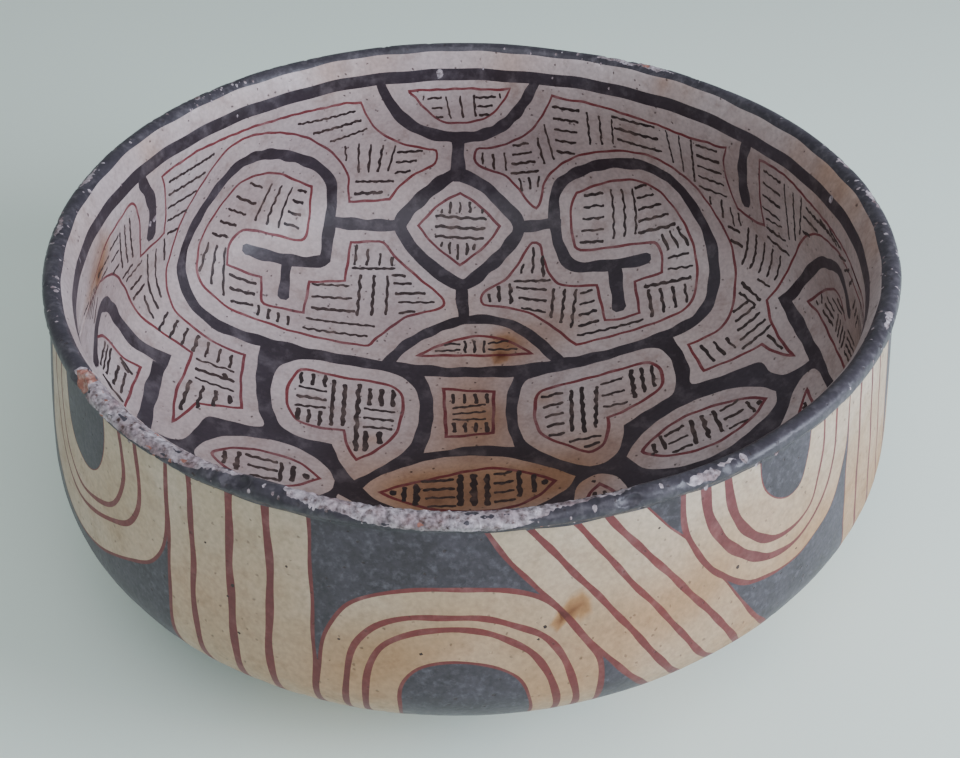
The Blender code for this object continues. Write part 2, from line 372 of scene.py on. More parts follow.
# %% Red outlines of the cells
RED_RINGS = (   # mirrored, points
    (True, [(-38, 211), (-5, 214.5), (30, 213, K), (24, 206), (16, 199.5), (5, 196.2), (-8, 195.5),
            (-17, 197), (-26, 203), (-33, 208.5, K)]),
    (True, [(-2, 157.5, K), (8, 151), (17.5, 141, K), (10, 131.5), (-2, 122, K), (-13, 130.5),
            (-22.5, 141, K), (-13, 151.5)]),
    (True, [(-21, 71, K), (-12, 77), (-3, 81), (7, 82.8), (16, 81), (23, 77.5), (31, 71, K), (5, 71.8)]),
    (True, [(-80, 150.5, K), (-100, 151.3), (-110, 149), (-118, 144.5), (-125, 137), (-128.5, 127.5),
            (-130.3, 116), (-130, 106), (-128, 98), (-125.5, 91), (-121.5, 86.5), (-114, 83), (-104, 80),
            (-92, 78.8), (-65, 75.8), (-50, 75, K), (-43, 75), (-40, 79), (-34, 86), (-26, 93), (-14, 97.5),
            (-9.5, 100), (-10.5, 104.5), (-20, 113), (-31, 122.5), (-39, 131), (-41, 131.5, K), (-55, 129, K),
            (-56, 109, K), (-72.5, 105, K), (-73, 96), (-73.5, 88, K), (-92, 88.3), (-93.5, 91),
            (-95, 101, K), (-112, 101.3, K), (-113.5, 108), (-111.5, 116), (-107, 120.5), (-95, 122.8),
            (-79, 124.4), (-77, 127), (-76.5, 135), (-78, 144)]),
    (True, [(58, 151.5, K), (75, 153.3), (88, 151.5), (97, 147), (103.5, 140.5), (107.5, 131), (110, 120),
            (111.3, 108), (110, 96), (107.5, 87.5), (103.5, 80.5), (98, 78.3), (75, 75.5), (51, 73.3, K),
            (47, 78), (40, 86), (32, 93), (22, 98), (9, 100.5), (7.8, 104), (11, 108.5), (19, 113),
            (25, 120), (30, 127.5), (33.5, 131.5), (37, 130), (38.5, 123), (41, 114.5), (45, 108.5),
            (52, 106), (63, 104.5, K), (64, 95), (65, 84.5, K), (74, 83.3), (81, 84.2, K), (80.5, 101.5, K),
            (94, 102.2, K), (95, 108), (94.5, 115), (92.5, 118), (85, 120), (57, 124, K), (54.5, 126),
            (53.5, 134), (53.5, 142), (55, 147.5)]),
    (True, [(-72, 56.5), (-55, 55.5), (-38, 54), (-30, 51.5), (-26.5, 45), (-27, 35), (-29, 26), (-33, 19),
            (-39, 12.5), (-45.5, 8, K), (-49, 14), (-51.5, 24.5, K), (-60, 24.5), (-70, 26.5), (-75, 32),
            (-77, 42), (-75.5, 50)]),
    (True, [(33, 48), (45, 51.5), (60, 53.5), (75, 55.5), (82, 55.5), (86, 50), (86, 42), (82, 37.5),
            (75, 33.5), (67, 30), (61, 28, K), (60.5, 20), (58, 13), (54, 9.5), (51, 9), (43, 15), (35, 20.5),
            (31.5, 27), (30.5, 37)]),
    (True, [(-9, 52, K), (13, 50.5, K), (12, 26, K), (-8, 24, K)]),
    (False, [(-35, -10.5, K), (-25, -5), (-12, -0.5), (3, 4), (15, 4.5), (27, 0), (36.5, -5.5, K), (30, -13),
             (20, -19), (5, -21.5), (-10, -20), (-22, -17)]),
    (False, [(-104.5, -3.5), (-98, 2.5), (-88, 5), (-77, 4.5), (-68, 1.5), (-60, -5.5, K), (-72, -13),
             (-85, -14), (-98, -9.5)]),
    (False, [(73, 4), (80, 12), (90, 18.5), (100, 20.5), (112, 20.5), (120, 18.5), (126, 14.5, K), (120, 8),
             (110, 2), (100, -1.5), (88, -2), (79, 0)]),
    (False, [(76, -29), (88, -24), (100, -24), (112, -29), (124, -38.5, K), (112, -44.5), (100, -44.5),
             (90, -42), (80, -35.5)]),
    (True, [(143, 9, K), (136, -5, K), (144, -3, K)]),
)
print(len(RED_RINGS), "closed outlines")

# %% Red outlines of the big cells, and single lines
# The big cells run on across the axis, so only their far half is drawn
BIG_CELLS = (
    [(-201, 20), (-204, 30), (-205.5, 40), (-204.5, 50), (-203, 60), (-201.5, 70), (-199, 75.5), (-192, 78),
     (-182, 78.5), (-172, 75.5), (-166, 73, K), (-163, 80), (-160, 87), (-158, 92.5, K), (-168, 99.5),
     (-178, 103.5), (-186, 104.5, K), (-182, 112), (-175, 123.5), (-163, 139), (-150, 152.5),
     (-135, 165.5), (-120, 176), (-108, 183.5), (-95, 190), (-80, 197), (-69, 200, K), (-63, 194),
     (-55, 188.5), (-45, 184), (-32, 181), (-20, 179.5), (-16, 179), (-15.5, 174), (-17, 171), (-26, 166),
     (-33, 159), (-38, 152, K), (-50, 149.5), (-58, 148, K), (-59.5, 153), (-62, 160), (-67, 165),
     (-75, 169.5), (-85, 172.5), (-96, 173.5), (-108, 172), (-120, 168.5), (-130, 163.5), (-139, 157),
     (-145, 150), (-149, 141), (-151, 130), (-151.7, 118), (-151, 108), (-149, 100), (-146, 92),
     (-142.5, 83), (-138, 75), (-133, 69), (-127, 65.5), (-117, 62), (-108, 59.5), (-97.5, 58, K),
     (-97.5, 45), (-95.5, 28, K), (-105, 26), (-114.5, 23.5, K), (-123, 8, K), (-124, 25), (-121.5, 40),
     (-120.5, 50.5, K), (-130, 53), (-145, 54.5), (-160, 56), (-172, 53.5), (-180, 49), (-187, 41),
     (-192, 30)],
    [(205, 15), (204.5, 28), (202, 35), (198, 47), (192, 57), (183, 65), (172, 68.5), (155, 68.5),
     (147, 67.5), (138, 65, K), (137, 55), (139, 40), (142, 30, K), (135, 37), (130, 45, K), (118, 43.5),
     (104, 42.5, K), (102, 50), (99.5, 59.5, K), (108, 60.5), (116, 63), (121, 69), (125, 78), (128, 88),
     (130, 100), (130.5, 112), (129.5, 124), (127, 134), (121.5, 144), (114, 153.5), (105, 160.5),
     (93, 166), (80, 169.5), (67, 170.5), (55, 168), (47, 164), (42, 159), (40, 154), (38, 149.5),
     (36.5, 148), (33, 150.5), (28, 158), (22, 164.5), (14, 168.5), (8, 171.5), (5.5, 175), (7, 180),
     (12, 180.5), (20, 181.5), (30, 184.5), (40, 189), (50, 197), (58, 205.5, K), (70, 201), (85, 195),
     (100, 186.5), (115, 176.5), (128, 166.5), (140, 156), (152, 146), (160, 138), (164, 135, K),
     (157, 131.5), (150, 121), (146.5, 110, K), (152, 100), (157.5, 93, K), (165, 101), (174, 107.5),
     (183, 113.5, K), (188, 106), (193, 97), (197, 87), (201, 72), (205, 55), (208, 40), (210, 25),
     (211, 8)],
)
RED_LINES = (
    [(-144, 2), (-142.5, 18), (-141, 30, K), (-150, 29), (-160, 30), (-165, 27), (-169, 22)],
    [(163, -5), (162.5, 5), (161, 25), (160, 40), (157, 49, K), (165, 45.5), (174, 39.5), (181, 32),
     (183, 24), (178, 15)],
)
LITTLE_LINE = [(48, -23), (50, -16), (54, -11, K), (59, -16), (61, -23)]
print(len(BIG_CELLS), "big cells and", len(RED_LINES) + 1, "single lines")

# %% Lay the red lines
RED_FAR, RED_NEAR = 1.3, 1.55   # the red line is bolder in the cells nearest the middle
NEAR_SIZE_TO, FAR_SIZE_FROM = 35, 150   # mm from the middle, between which a width changes


def boldness(x, y, far_size, near_size):
    """A width that grows from the wall to the middle of the floor."""
    away = math.hypot(x, y - AXIS)
    return float(np.interp(away, (NEAR_SIZE_TO, FAR_SIZE_FROM), (near_size, far_size)))


for mirrored, points in RED_RINGS:
    width = boldness(*points[0][:2], RED_FAR, RED_NEAR)
    paint(RED, stroke(brushed(points, closed=True), width, closed=True), mirrored)
for points in BIG_CELLS:
    half = brushed(points)
    paint(RED, stroke(np.concatenate((half, across([half])[0])), RED_FAR, closed=True))
for points in RED_LINES:
    paint(RED, stroke(brushed(points), RED_FAR), mirrored=True)
paint(RED, stroke(brushed(LITTLE_LINE), RED_NEAR))
print(len(RED_RINGS) + len(BIG_CELLS) + len(RED_LINES), "red outlines")

# %% [markdown]
# ## Hatching
#
# Short wavy strokes fill the cells, a few side by side in one direction and the
# next few across. One block is given by its first stroke, its last stroke and
# how many there are, and a loop lays the strokes between them.

# %% Hatching of both halves
# x, y to x, y of a stroke; where there are more, also of the last stroke, and their number
FAR_HATCH = (
    # under the ring, at the back
    (-25, 208.5, -16, 209.5, -18, 198.5, -14, 198.5, 3), (-13, 210, -9, 198, 5.5, 211, 6.5, 199.5, 3),
    (7, 209.8, 20, 209.8, 9, 200, 15, 200, 3), (23, 211, 23, 209), (-28, 209.5, -28, 207.5),
    # diamond
    (-11, 149.5, -11, 148), (-7, 153, -7, 148, 3, 153, 3, 148.5, 3), (9, 149.5, 9, 148),
    (-14, 146.5, 11, 145, -14, 136.5, 9.5, 135.5, 3), (-11, 133.5, -11, 131.5), (-7, 133.5, -7, 128),
    (-3, 132.5, -3, 125), (1.5, 133, 1.5, 127.5), (5, 132.5, 5, 130),
    # left spiral
    (-118, 140.5, -109, 141.5), (-122, 131.5, -108, 133, -125, 110.5, -116, 113, 4),
    (-104, 145, -104, 126, -91, 147, -91, 127, 3), (-87, 147, -82, 147, -88.5, 130, -81, 130, 4),
    (-124.5, 106, -124.5, 92, -115, 108, -111, 86, 3), (-110, 97, -97, 97, -107, 84.5, -97, 86, 3),
    (-94, 86.5, -94, 81.5, -80, 84.5, -80, 80, 4), (-71, 104, -54, 106.5, -70, 91.5, -50.5, 93, 3),
    (-72, 85.5, -41, 86), (-73, 80, -44, 80), (-49, 113, -49, 91, -36, 114, -36, 93, 3),
    (-34, 115, -28, 115), (-33, 110.5, -25, 111), (-32, 105, -18.5, 106.5), (-30.5, 100.5, -14, 101.5),
    (-30, 94.5, -23, 96), (-52, 128, -52, 118, -34.5, 124, -34.5, 120, 4), (-53, 116, -33, 118.5),
    # right spiral
    (62, 149.5, 72, 148.5, 57, 128, 68, 126, 5), (77, 149, 73.5, 126, 89, 146, 84.5, 125, 3),
    (91, 146, 98, 145.5, 86, 125, 105, 122, 5), (97, 120, 99, 112, 105.5, 120, 109, 110, 3),
    (98, 108, 108, 106.5), (97, 102.5, 108.5, 99.5), (85, 97.5, 106.5, 94.5),
    (86.5, 95, 86.5, 80.5, 103, 92, 103, 82.5, 4), (34, 129, 33, 116), (28.5, 121, 27.5, 116.5),
    (38, 124, 38, 113.5), (24, 112.5, 41, 111), (12, 106, 12, 102), (16.5, 110, 16.5, 102),
    (22, 111, 22, 100.5), (25, 109, 39, 106, 27, 97.5, 38, 94, 3),
    (42.5, 106, 40.5, 90.5, 53, 104, 49.5, 83.5, 3), (55, 101.5, 60.5, 102, 53, 83.5, 62, 85, 4),
    (52, 78.5, 82, 80),
    # big cell on the left
    (-106, 178, -71, 195, -80, 175.5, -60, 187, 3), (-70, 175, -66, 168),
    (-62, 178, -57, 163, -40, 180, -41, 166, 4), (-38, 176.5, -24, 178.5, -37, 165.5, -29, 167, 3),
    (-57, 158, -37, 161), (-56, 152, -42, 155), (-178, 108, -155, 139.5, -155, 94, -150, 100, 5),
    (-155, 91, -147, 85), (-157, 84, -140, 70), (-161, 78, -140, 64), (-149, 64, -141, 58),
    (-169, 66, -171, 56), (-163, 73, -167, 58), (-157, 69, -160, 59), (-152, 68, -155, 58),
    (-135, 65, -137, 54, -103, 56, -103, 49, 7), (-118, 48, -101, 47.5, -117, 37.5, -100, 36.5, 3),
    (-119, 35, -121, 17, -101, 33, -101, 29, 4), (-195, 70, -172, 68, -197, 58, -176, 58, 3),
    (-197, 56, -198, 45, -181, 55, -182, 48, 3),
    (-196, 43, -197, 30), (-191, 41, -192, 33), (-194, 25, -182, 18, -197, 16, -188, 9, 4),
    (-186, 27, -178, 20), (-199, 12, -200, -2, -191, 8, -192, -2, 3),
    # hooks
    (-161.5, 27, -160, 15, -157, 28, -155.5, 14, 3), (-151, 23, -151, 12), (-147, 22, -147, 10),
    (-151, 28, -144, 24), (-150, 26, -146, 23.5), (-157, 12, -145, 6),
    (-157, 7, -157, 0, -148, 3, -148, -4, 4), (163, 44, 163, 42), (166, 40, 169, 42),
    (164, 37, 166, 26, 172, 37, 172, 28, 3), (166, 22.5, 174, 23.5, 165, 13, 173, 13, 4),
    (176, 32, 177, 20), (179.5, 27, 180, 17), (166, 9, 167, -2, 176, 10, 177, -2, 4),
    (199, 60, 204, 46), (203, 54, 206, 31), (206.5, 42, 208, 24), (203, 27, 207, 16, 199, 10, 206, 2, 3),
    (191, 4, 199, -3, 186, -2, 194, -8, 3),
    # big cell on the right
    (10, 178, 10, 172), (16, 177, 16, 169), (22.5, 177.5, 22.5, 168), (28, 181, 37, 182, 25, 166, 40, 166, 4),
    (29, 163, 30, 157, 39.5, 163, 38.5, 158, 3), (43, 184, 44, 169.5), (49, 191, 50, 171),
    (57, 200, 74, 194, 53, 175, 63, 172, 5), (79, 192, 74.5, 175, 94, 184, 89, 171.5, 3),
    (95, 185.5, 121, 170, 93, 173, 118, 157, 3), (128, 165, 122, 149, 142, 152.5, 129, 135, 3),
    (144, 149, 156, 138, 130, 131.5, 144, 118.5, 5), (133, 124, 131, 121), (139, 119, 134, 112),
    (142, 113, 138, 105), (145, 108, 142, 103), (134, 107, 139, 101), (131, 101, 136, 95),
    (132, 88, 146, 99, 145, 71, 156, 76, 5), (129, 80, 135, 67), (127, 76, 132, 66), (137, 77, 141, 70),
    (122, 68, 130, 70, 122, 47, 136, 52, 5), (105, 57, 109, 46, 116, 56, 119, 49, 3), (134, 48, 138, 37),
    (155, 88, 162, 72, 162, 94, 169, 83, 3), (165, 99, 171, 86, 182, 108, 189, 94, 4),
    (169, 76, 191, 91), (173, 72, 193, 82), (179, 70, 198, 74.5), (183, 68, 186, 62), (191, 70, 195, 55),
    (197, 69, 205, 40),
    # middle cells
    (-71.5, 55, -71.5, 49, -61, 55, -61, 49, 3), (-72, 47, -60, 46, -73, 36, -60, 36.5, 3),
    (-71.5, 34, -71.5, 28, -62, 34, -62, 26, 3), (-57, 53, -57, 27), (-52, 51, -52, 27.5),
    (-46, 52, -46, 13.5), (-41, 50, -41, 41, -31, 50, -31, 41, 3),
    (-43, 38.5, -30, 37.5, -43, 28, -31, 27.5, 3), (-42, 25, -42, 14), (-36, 25, -36, 19),
    (34, 45, 43, 46.5, 36, 21.5, 42, 22.5, 5), (47, 47, 45.5, 23),
    (51.5, 48, 50.5, 21.5), (58, 47, 55.5, 23.5), (60, 48, 69, 49.5, 60, 34.5, 70, 35, 3),
    (73.5, 53, 73.5, 37, 82.5, 53, 82.5, 41, 3), (44, 17, 57, 18), (50, 12.5, 56, 14),
)
print(len(FAR_HATCH), "blocks of hatching")

# %% Finer hatching, the near cells and dots
FINE = 0.74             # the strokes of the dome and the centre cell are this much finer
FINE_HATCH = (
    (-9, 78, -2, 78.5), (-13, 74, -2, 75), (0.5, 80, 0.5, 73.5, 9, 80, 9, 73.5, 3), (11, 78.5, 20, 79.5),
    (11, 75, 24, 74.5), (-5, 49, -5, 44, 10, 49, 10, 44, 4), (-5, 41, 9, 43, -5, 34, 9, 34.5, 3),
    (-4.5, 32, -4.5, 27, 9.5, 32, 9.5, 27, 4),
)
LENS_HATCH = (
    (-29.5, -10, -29.5, -11.5), (32.5, -5, 32.5, -6.5), (-25, -7, -25, -15, -20, -5, -20, -17, 2),
    (-18, -3, -5, -1.5, -15, -18, -4, -17.5, 4), (-2, 1, -2, -17, 9, 1, 9, -17.5, 3),
    (12, 1, 19, 2, 12, -16, 20, -15, 4), (22, 2, 22, -13, 28, -1, 28, -11, 2),
    (-99.5, 0, -99.5, -7), (-94, 1.5, -94, -9), (-91, 1, -78, 0, -88, -10.5, -77, -10.5, 3),
    (-76, 0, -76, -11, -71, -1, -71, -9.5, 2), (-65.5, -5, -65.5, -6.5), (77.5, 7, 78.5, 2),
    (81, 11, 82.5, 3), (83, 10.5, 91, 14, 85, 0, 93, 2, 3), (94.5, 16, 95, 2, 104, 18, 106, 5, 3),
    (107, 17, 115, 19.5, 109, 5.5, 117, 7, 3), (118, 17, 120.5, 10), (123, 14.5, 123, 13),
    (52, -16, 52, -19), (56, -16, 56, -20), (140.5, -2, 140.5, 2), (82, -29, 82, -36, 92, -27, 92, -40, 3),
    (97, -28, 108, -29, 97, -41, 110, -41, 4), (114, -33, 115, -42),
)
DOTS = (    # x, y, size: round dots in the tips of the cells
    (-29.5, -10.5, 3.4), (32.5, -5.5, 3.0), (-65.5, -5.3, 3.4), (123, 14, 2.6), (52, -9, 2.0),
    (-99.5, -3.5, 2.6), (-94.5, -6.5, 3.8), (-104.5, 43.5, 3.2), (77, 1.5, 2.0), (-197, 28, 3.4),
    (140, -0.5, 2.6),
)
print(len(FINE_HATCH) + len(LENS_HATCH), "more blocks and", len(DOTS), "dots")

# %% Lay the hatching
THIN_FAR, THIN_NEAR = 1.4, 1.55     # mm: width of a stroke that runs left to right
BROAD_FAR, BROAD_NEAR = 1.35, 2.5   # mm: width of one that runs away from the viewer
UPRIGHT_FROM = 0.7      # a stroke this steep counts as running away
HATCH_STEP = 1.2        # mm between points along a stroke
SWAY, SWING = (0.14, 0.36), (0.7, 1.15)     # mm: how far a stroke waves, and how quickly
TREMBLE = 0.07          # mm: the hand's small mistakes
PRESSURE, LOAD = (0.8, 1.15), (0.12, 0.3)   # how widths vary between strokes and along one
hand = np.random.default_rng(7)


def hatch(block, weight=1.0):
    """The wavy strokes of one block, all drawn bolder or finer by weight."""
    first, last = np.array(block[:4]), np.array(block[4:8] or block[:4])
    count = block[8] if len(block) > 4 else 1
    for number in range(count):
        x1, y1, x2, y2 = first + (last - first) * number / max(1, count - 1)
        length = math.hypot(x2 - x1, y2 - y1)
        share = np.linspace(0, 1, max(4, round(length / HATCH_STEP)))
        amount, swing, start = hand.uniform(*SWAY), hand.uniform(*SWING), hand.uniform(0, 6)
        sway = amount * np.sin(share * length / swing + start) + hand.normal(0, TREMBLE, len(share))
        along = np.array((x2 - x1, y2 - y1)) / length
        line = np.array((x1, y1)) + share[:, None] * length * along
        line += sway[:, None] * np.array((-along[1], along[0]))
        sizes = (BROAD_FAR, BROAD_NEAR) if abs(along[1]) > UPRIGHT_FROM else (THIN_FAR, THIN_NEAR)
        width = boldness(x1, y1, *sizes) * weight * hand.uniform(*PRESSURE)
        yield stroke(line, width, unsteady=hand.uniform(*LOAD), ripple=4.0)


def blob(x, y, size, points=9):
    """A small uneven spot of paint, or of bare clay."""
    angle = np.linspace(0, math.tau, points, endpoint=False)
    far = size / 2 * hand.uniform(0.7, 1.15, points)
    return [np.array((x, y)) + polar(far, angle)]


for blocks, weight, mirrored in ((FAR_HATCH, 1.0, True), (FINE_HATCH, FINE, True), (LENS_HATCH, 1.0, False)):
    for block in blocks:
        for loops in hatch(block, weight):
            paint(HATCH, loops, mirrored)
for dot in DOTS:
    paint(HATCH, blob(*dot))
print(len(layers), "areas painted so far")

# %% [markdown]
# ## The outside
#
# Outside, broad bands alternate: a hoop hanging from the lip, an upright band,
# an arch rising from below and a slanting band. They are drawn as degrees round
# the bowl and millimetres below the neck, and one group of them repeats.

# %% Upright band, arch and slanting band
LOWEST = 135            # the bands end this far below the neck, out of sight
# Each shape is a list of lines: width at the start and at the end, then degrees and mm below the neck
UPRIGHT = (
    (1.4, 1.9, [(232.4, -3), (233, 30), (233, 50), (233.2, 64), (234, 90), (235, LOWEST)]),
    (1.2, 2.8, [(251.7, -3), (252, 20), (252.3, 40), (252.6, 65), (252, LOWEST)]),
    (2.2, 2.8, [(236, -3), (236.8, 30), (236.8, 50), (237.4, 66), (238.5, LOWEST)]),
    (2.8, 2.8, [(242, -3), (242, 30), (242.3, 55), (242.6, 70), (243, LOWEST)]),
    (2.6, 2.7, [(246.5, -3), (247, 15), (247.1, 35), (246.8, 50), (247.2, 66), (247.5, LOWEST)]),
)
ARCH = (
    (1.3, 2, [(252.8, LOWEST), (252.8, 65), (253.3, 48), (254.2, 38), (256, 30), (259, 24.8), (263, 21.6),
        (268, 20.5), (272, 20.8), (275.5, 23), (278.5, 27), (280.5, 34), (282.5, 43), (284.2, 52),
        (284.7, 68), (285, LOWEST)]),
    (2, 2.3, [(256, LOWEST), (256, 65), (256.6, 50), (257.5, 42), (259.5, 36), (263, 32), (267, 31),
        (270.5, 31.3), (274, 34), (277.5, 39), (279.7, 47), (281.2, 58), (282, 70), (282.3, LOWEST)]),
    (2.1, 2.3, [(258.2, LOWEST), (258.2, 65), (258.8, 52), (260.2, 43), (263.5, 37.5), (267, 35.5),
        (270, 36.2), (273, 38.8), (276, 44.5), (278, 52), (279.2, 60), (279.7, 70), (280, LOWEST)]),
    (1.2, 1, [(262, LOWEST), (262, 65), (262.5, 57), (264, 51), (266.5, 48.5), (270, 48.5), (273, 51),
        (275.6, 57), (276.6, 66), (277, 80), (277, LOWEST)]),
)
SLANTING = (
    (1.6, 2.6, [(270.6, -3), (273.5, 10), (276.4, 20), (279.6, 30), (282.1, 40), (284.4, 50), (287.1, 60),
        (289.6, 69), (292, 80), (294, 95), (295.5, LOWEST)]),
    (0.7, 2.6, [(288.6, -3), (292.1, 9), (294.4, 15.6), (296.4, 24), (298.5, 32), (301, 42), (302.8, 50),
        (304.9, 60), (307.8, 70), (310.5, 82), (313, 95), (315, LOWEST)]),
    (2.1, 2.8, [(275, -3), (279.2, 11), (282.8, 24), (286.4, 38), (289.9, 52), (293.1, 66), (296.3, 80),
        (298.5, 95), (300, LOWEST)]),
    (2, 2.6, [(280.2, -3), (284.6, 13), (287.8, 26), (291.4, 40), (294.9, 54), (297.8, 66), (301.3, 80),
        (303.7, 95), (305.2, LOWEST)]),
    (2.3, 2.6, [(284.2, -3), (288.1, 12), (292.1, 26), (296, 40), (299.6, 54), (302.8, 68), (306, 82),
        (308.5, 96), (310, LOWEST)]),
)
print(len(UPRIGHT) + len(ARCH) + len(SLANTING), "lines in three shapes")

# %% Hoops and the upright band at the right
HOOP = (
    (2, 0.4, [(293.8, -3), (294.1, 8), (294.8, 16), (297.1, 28), (300, 37), (303.5, 44.4), (306.4, 47),
        (309.2, 48), (312.8, 47), (315.6, 44), (318.5, 40), (320.3, 34), (321.7, 24), (322.4, 12),
        (322.6, -3)]),
    (3.5, 1.1, [(296.7, -3), (297.4, 10), (299.2, 20), (302.1, 30), (304.9, 36), (307.8, 39.6),
        (311.4, 40.4), (314.9, 36), (317.8, 28), (318.9, 20), (319.2, 12), (319.4, -3)]),
    (3.2, 1, [(299.9, -3), (300.6, 10), (302.4, 20), (304.9, 28), (307.8, 32.6), (311.4, 33.6), (314.2, 30),
        (315.6, 22), (316.4, 12), (316.6, -3)]),
    (0.5, 0.3, [(304.9, -3), (305.6, 10), (307.4, 17), (309.9, 20), (312.1, 18), (313.2, 10), (313.9, -3)]),
)
LEFT_HOOP = (
    (0.6, 1.2, [(200, -3), (199.8, 20), (200, 38), (201.5, 47), (204.5, 53.5), (208.5, 57.5), (213, 59),
        (218, 57), (222, 53), (226, 48), (229.6, 42), (232, 33), (232.5, 20), (232.3, -3)]),
    (1.4, 1.9, [(203, -3), (203, 12), (204.2, 25), (206.5, 36), (210, 43), (214, 45), (218, 43),
        (222, 38.5), (225.5, 33), (227.5, 25), (227.8, 15), (227, -3)]),
    (1.3, 1.9, [(206.2, -3), (206, 12), (207, 24), (209, 33), (213, 38.5), (217, 38), (221, 34),
        (223.5, 27), (224.8, 18), (224.5, 8), (223.8, -3)]),
    (0.4, 0.4, [(208.5, -3), (209, 10), (210, 19), (212, 25), (215.5, 27.5), (218, 25), (220, 18),
        (220.6, 10), (220.3, -3)]),
)
RIGHT_UPRIGHT = (
    (0.5, 0.8, [(322.7, -3), (322.6, 30), (322.8, 50), (323.5, 64), (325, LOWEST)]),
    (1.1, 1.4, [(338.5, -3), (339, 40), (340, 64), (341, LOWEST)]),
    (1.4, 1.7, [(326, -3), (326.2, 40), (326.5, 55), (327.5, 66), (329, LOWEST)]),
    (1.4, 1.6, [(329.8, -3), (330.6, 40), (331, 54), (332, 66), (333.5, LOWEST)]),
    (1.3, 1.5, [(333.2, -3), (333.9, 32), (334.6, 48), (336, 62), (337.5, LOWEST)]),
)
print(len(HOOP) + len(LEFT_HOOP) + len(RIGHT_UPRIGHT), "lines in three more")

# %% Lay the bands
GROUP_TURN = 87         # the group repeats after this many degrees
LONE_ARCH = -91.5       # one more arch fills the gap at the left
BAND_SHAKE, BAND_SHAKE_LENGTH = 0.35, 20.0
FAR_EDGE = AT_END + 5   # just past the sheet's outer edge
red_on_top = []


def lay_shape(lines, shift, straight):
    """A straight pale band between its first two lines, or an arch or hoop with a dark core."""
    drawn_lines = [shake(curve(degrees(points, shift)), BAND_SHAKE, BAND_SHAKE_LENGTH)
                   for _, _, points in lines]
    if straight:
        paint(BUFF, outside([np.concatenate((drawn_lines[0], drawn_lines[1][::-1]))]))
    else:
        paint(BUFF, outside(drawn_lines[:1]))
        red_on_top.append((BLUEBLACK, outside(drawn_lines[-1:])))
    for line, (start, end, _) in zip(drawn_lines, lines):
        red_on_top.append((BRICK, outside(stroke(line, start, end=end))))


paint(BUFF, [ring(FAR_EDGE), ring(AT_NECK - 0.5)[::-1]])
paint(BLUEBLACK, [ring(AT_NECK + LOWEST), ring(AT_NECK - 0.5)[::-1]])
plan = [(LEFT_HOOP, 0, False), (UPRIGHT, 0, True), (ARCH, LONE_ARCH, False)]
for turn in (0, GROUP_TURN, 2 * GROUP_TURN):
    plan += [(ARCH, turn, False), (SLANTING, turn, True), (HOOP, turn, False), (RIGHT_UPRIGHT, turn, True)]
for shape in plan:
    lay_shape(*shape)
layers.extend(red_on_top)
paint(BLUEBLACK, [ring(AT_NECK + LOWEST + 3, 0.6), ring(AT_NECK + LOWEST - 1, 0.6)[::-1]])
paint(FOOT, [ring(FAR_EDGE), ring(AT_BASE - 6, 1.5)[::-1]])
print(len(layers), "areas painted so far")

# %% [markdown]
# ## The lip and its losses
#
# The lip was painted dark all round. It has suffered most: along two stretches
# the paint and slip have crumbled away to pale clay, and small flakes are
# missing everywhere. Each loss is a ragged area of bare clay.

# %% Where the lip is bare
# The two long bare bands: degrees, mm bare inside the roll's start, mm still painted above the neck
BARE_BANDS = (
    ((213.3, -3.0, 7.0), (214.3, 2.2, 3.6), (217, 2.6, 2.6), (221, 1.8, 3.2), (226, 2.2, 3.8),
     (231, 1.6, 4.4), (235, 2.2, 5.6), (239, 2.4, 7.4), (242, 2.2, 9.0), (244.2, -0.4, 11.0)),
    ((248.6, -1.0, 9.5), (249.6, 2.8, 7.0), (253, 2.6, 6.0), (257, 1.4, 5.2), (260, 1.0, 3.2),
     (264, 1.0, 1.4), (270, 0.8, 1.0), (274, 0.6, 2.4), (277, 0.2, 6.2), (280, 0.8, 8.4),
     (283, 0.2, 9.4), (286, 0.8, 8.6), (288.4, -1.0, 10.8)),
)
# Short ones: from and to in degrees, mm bare inside the roll's start, mm short of the neck
WORN = (
    (294, 298.5, -4.0, 4.2), (53, 67, -1.5, 7.5), (163, 169, -3.0, 7.5), (177, 182, -3.0, 7.0),
    (3, 8, -3.5, 6.5), (334, 338, -3.5, 6.0), (14, 17, -3.0, 7.0), (298.5, 301, -3.0, 7.4),
)
FIRED_SPOTS = ((213.6, 216.8, 1.5, 1.6), (57.5, 59, -2.0, 8.4), (231, 232.6, -8.0, 0.5))
print(len(BARE_BANDS), "long bare bands,", len(WORN) + len(FIRED_SPOTS), "short stretches")

# %% Flakes and specks
FLAKES = (  # x, y on the sheet, size: losses inside
    (-18, 221, 5.0), (217, 49, 3.8), (-172, 90.5, 3.2), (-173, 86.5, 3.0), (12, 224, 1.5), (-150, 163, 1.4),
    (205, -20, 2.2), (-212, 72, 1.6), (-120, 190, 1.5), (60, 214, 1.3), (98, 199, 1.4), (-222, -6, 2.6),
)
LIP_FLAKES = (  # degrees, mm past the roll's start, size
    (302, 5.0, 3.2), (304.5, 11.6, 3.6), (307.5, 11.8, 3.0), (297, 12.4, 2.0), (288.6, 11.0, 2.2),
    (283, 6.0, 2.0), (279.5, 11.2, 1.8), (281, 11.4, 1.6), (282, 11.3, 1.9), (246.5, 4.0, 1.4),
    (247.8, 5.5, 1.2), (245, 7.0, 1.3), (248.6, 6.3, 1.1), (291, 4.4, 1.6), (96, 6.0, 2.6),
    (104, 5.0, 3.0), (131, 5.0, 2.8), (138.5, 4.0, 3.4), (146, 6.0, 2.6), (124, 6.5, 1.8),
)
FLAKE_GROWTH = 1.3      # those on the lip are this much larger than listed
